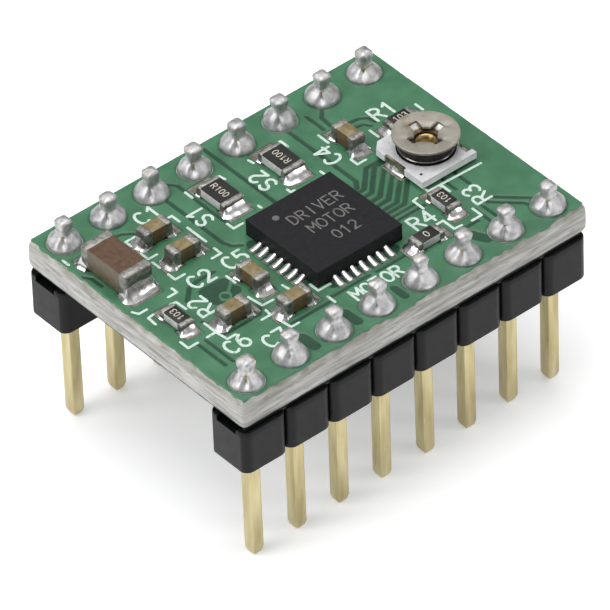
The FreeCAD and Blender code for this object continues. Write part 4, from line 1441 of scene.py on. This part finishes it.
# ================================================================ CAD nodes that keep their own shape
# Nodes that are shown as they are, under the finish they get; the slot name beside each finish is not used.
KEPT = {
    ("pad_tin", "tinned_copper"): ["copper_pads_top"],
    ("tinned_copper", "tinned_copper"): ["copper_pads_bottom", "plated_holes"],
    ("mask", "solder_mask"): ["solder_mask_bottom"],
    ("lead_tin", "lead_tin"): ["driver_ic_leads", "driver_ic_thermal_pad"],
    ("silicon", "silicon"): ["driver_ic_die"],
    ("bond_gold", "bond_gold"): ["driver_ic_bond_wires"],
    ("electrode", "electrode_metal"): ["bulk_capacitor_plates", "small_capacitor_plates"],
    ("film", "resistive_film"): ["resistor_films"],
    ("ink_track", "resistive_ink"): ["trimmer_track"],
    ("terminal_metal", "terminal_metal"): ["trimmer_wiper_terminal", "trimmer_end_terminals"],
    ("spring", "wiper_spring"): ["trimmer_wiper"],
}
for (finish, slot), nodes in KEPT.items():
    for node in nodes:
        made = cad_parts[node]
        made.data.materials.clear()
        made.data.materials.append(FINISHES[finish])


# ================================================================ floor, lights, camera
# The floor: half its side, and how strongly it glows.
FLOOR_HALF, FLOOR_GLOW = 600, 0.34


def stage():
    """A plain pale floor, wide enough for every view."""
    half = FLOOR_HALF * MM
    mesh = bpy.data.meshes.new("floor")
    corners = [(-half, -half, 0), (half, -half, 0), (half, half, 0), (-half, half, 0)]
    mesh.from_pydata(corners, [], [(0, 1, 2, 3)])
    made = Finish("floor_paper")
    made.colour(made.ramp(made.noise(0.02), shades((0.3, (238, 238, 239)), (0.7, (242, 242, 243)))))
    made.roughness(made.noise(0.05), 0.85, 0.95)
    made.shader.inputs["Emission Color"].default_value = (1.0, 1.0, 1.0, 1.0)
    made.shader.inputs["Emission Strength"].default_value = FLOOR_GLOW
    mesh.materials.append(made.material)
    floor = bpy.data.objects.new("floor", mesh)
    bpy.context.scene.collection.objects.link(floor)


def softbox(name, place, aim, size, power):
    """A rectangular light at a place, turned towards its aim."""
    light = bpy.data.lights.new(name, "AREA")
    light.shape = "RECTANGLE"
    light.size, light.size_y = size[0] * MM, size[1] * MM
    light.energy = power
    made = bpy.data.objects.new(name, light)
    made.location = Vector(place) * MM
    made.rotation_mode = "QUATERNION"
    made.rotation_quaternion = (Vector(aim) - Vector(place)).to_track_quat("-Z", "Y")
    bpy.context.scene.collection.objects.link(made)


# Brightness of the room low down and overhead.
HORIZON, ZENITH = 0.10, 0.56


def studio():
    """A room that is darker low down, and three softboxes."""
    world = bpy.data.worlds.new("studio")
    world.use_nodes = True
    nodes, links = world.node_tree.nodes, world.node_tree.links
    heading = nodes.new("ShaderNodeTexCoord").outputs["Generated"]
    height = nodes.new("ShaderNodeSeparateXYZ")
    ramp = nodes.new("ShaderNodeValToRGB")
    for element, (position, shade) in zip(ramp.color_ramp.elements, ((0.1, HORIZON), (0.95, ZENITH))):
        element.position = position
        element.color = (shade, shade, shade, 1.0)
    links.new(heading, height.inputs["Vector"])
    links.new(height.outputs["Z"], ramp.inputs["Fac"])
    links.new(ramp.outputs["Color"], nodes["Background"].inputs["Color"])
    bpy.context.scene.world = world
    middle = (0.0, 0.0, BOARD_TOP)
    softbox("key_light", (-150, 40, 120), middle, (110, 110), 0.16)
    softbox("top_light", (0, 15, 190), middle, (170, 150), 0.24)
    softbox("fill_light", (120, -150, 90), middle, (70, 60), 0.06)


# Where the camera stands, seen from the middle of the board's upper face.
AZIMUTH, ELEVATION, ROLL = -39.08, 40.90, -2.08
CAMERA_DISTANCE = 391.25
AIM_RIGHT, AIM_UP = -0.07, -3.657
SENSOR, LENS = 36.0, 513.08


def camera():
    """The camera, turned about its own axis by ROLL and moved sideways and up by AIM_RIGHT and AIM_UP."""
    azimuth, elevation, roll = (math.radians(a) for a in (AZIMUTH, ELEVATION, ROLL))
    back = Vector((math.sin(azimuth) * math.cos(elevation), -math.cos(azimuth) * math.cos(elevation),
                   math.sin(elevation)))
    level_right = Vector((math.cos(azimuth), math.sin(azimuth), 0))
    level_up = back.cross(level_right)
    right = level_right * math.cos(roll) + level_up * math.sin(roll)
    up = back.cross(right)
    data = bpy.data.cameras.new("camera")
    data.sensor_width = SENSOR
    data.lens = LENS
    data.clip_start, data.clip_end = 10 * MM, 3000 * MM
    made = bpy.data.objects.new("camera", data)
    made.rotation_mode = "QUATERNION"
    made.rotation_quaternion = Matrix((right, up, back)).transposed().to_quaternion()
    place = back * CAMERA_DISTANCE + right * AIM_RIGHT + up * AIM_UP + Vector((0, 0, BOARD_TOP))
    made.location = place * MM
    bpy.context.scene.collection.objects.link(made)
    bpy.context.scene.camera = made


stage()
studio()
camera()
bpy.context.scene.view_settings.view_transform = "Standard"
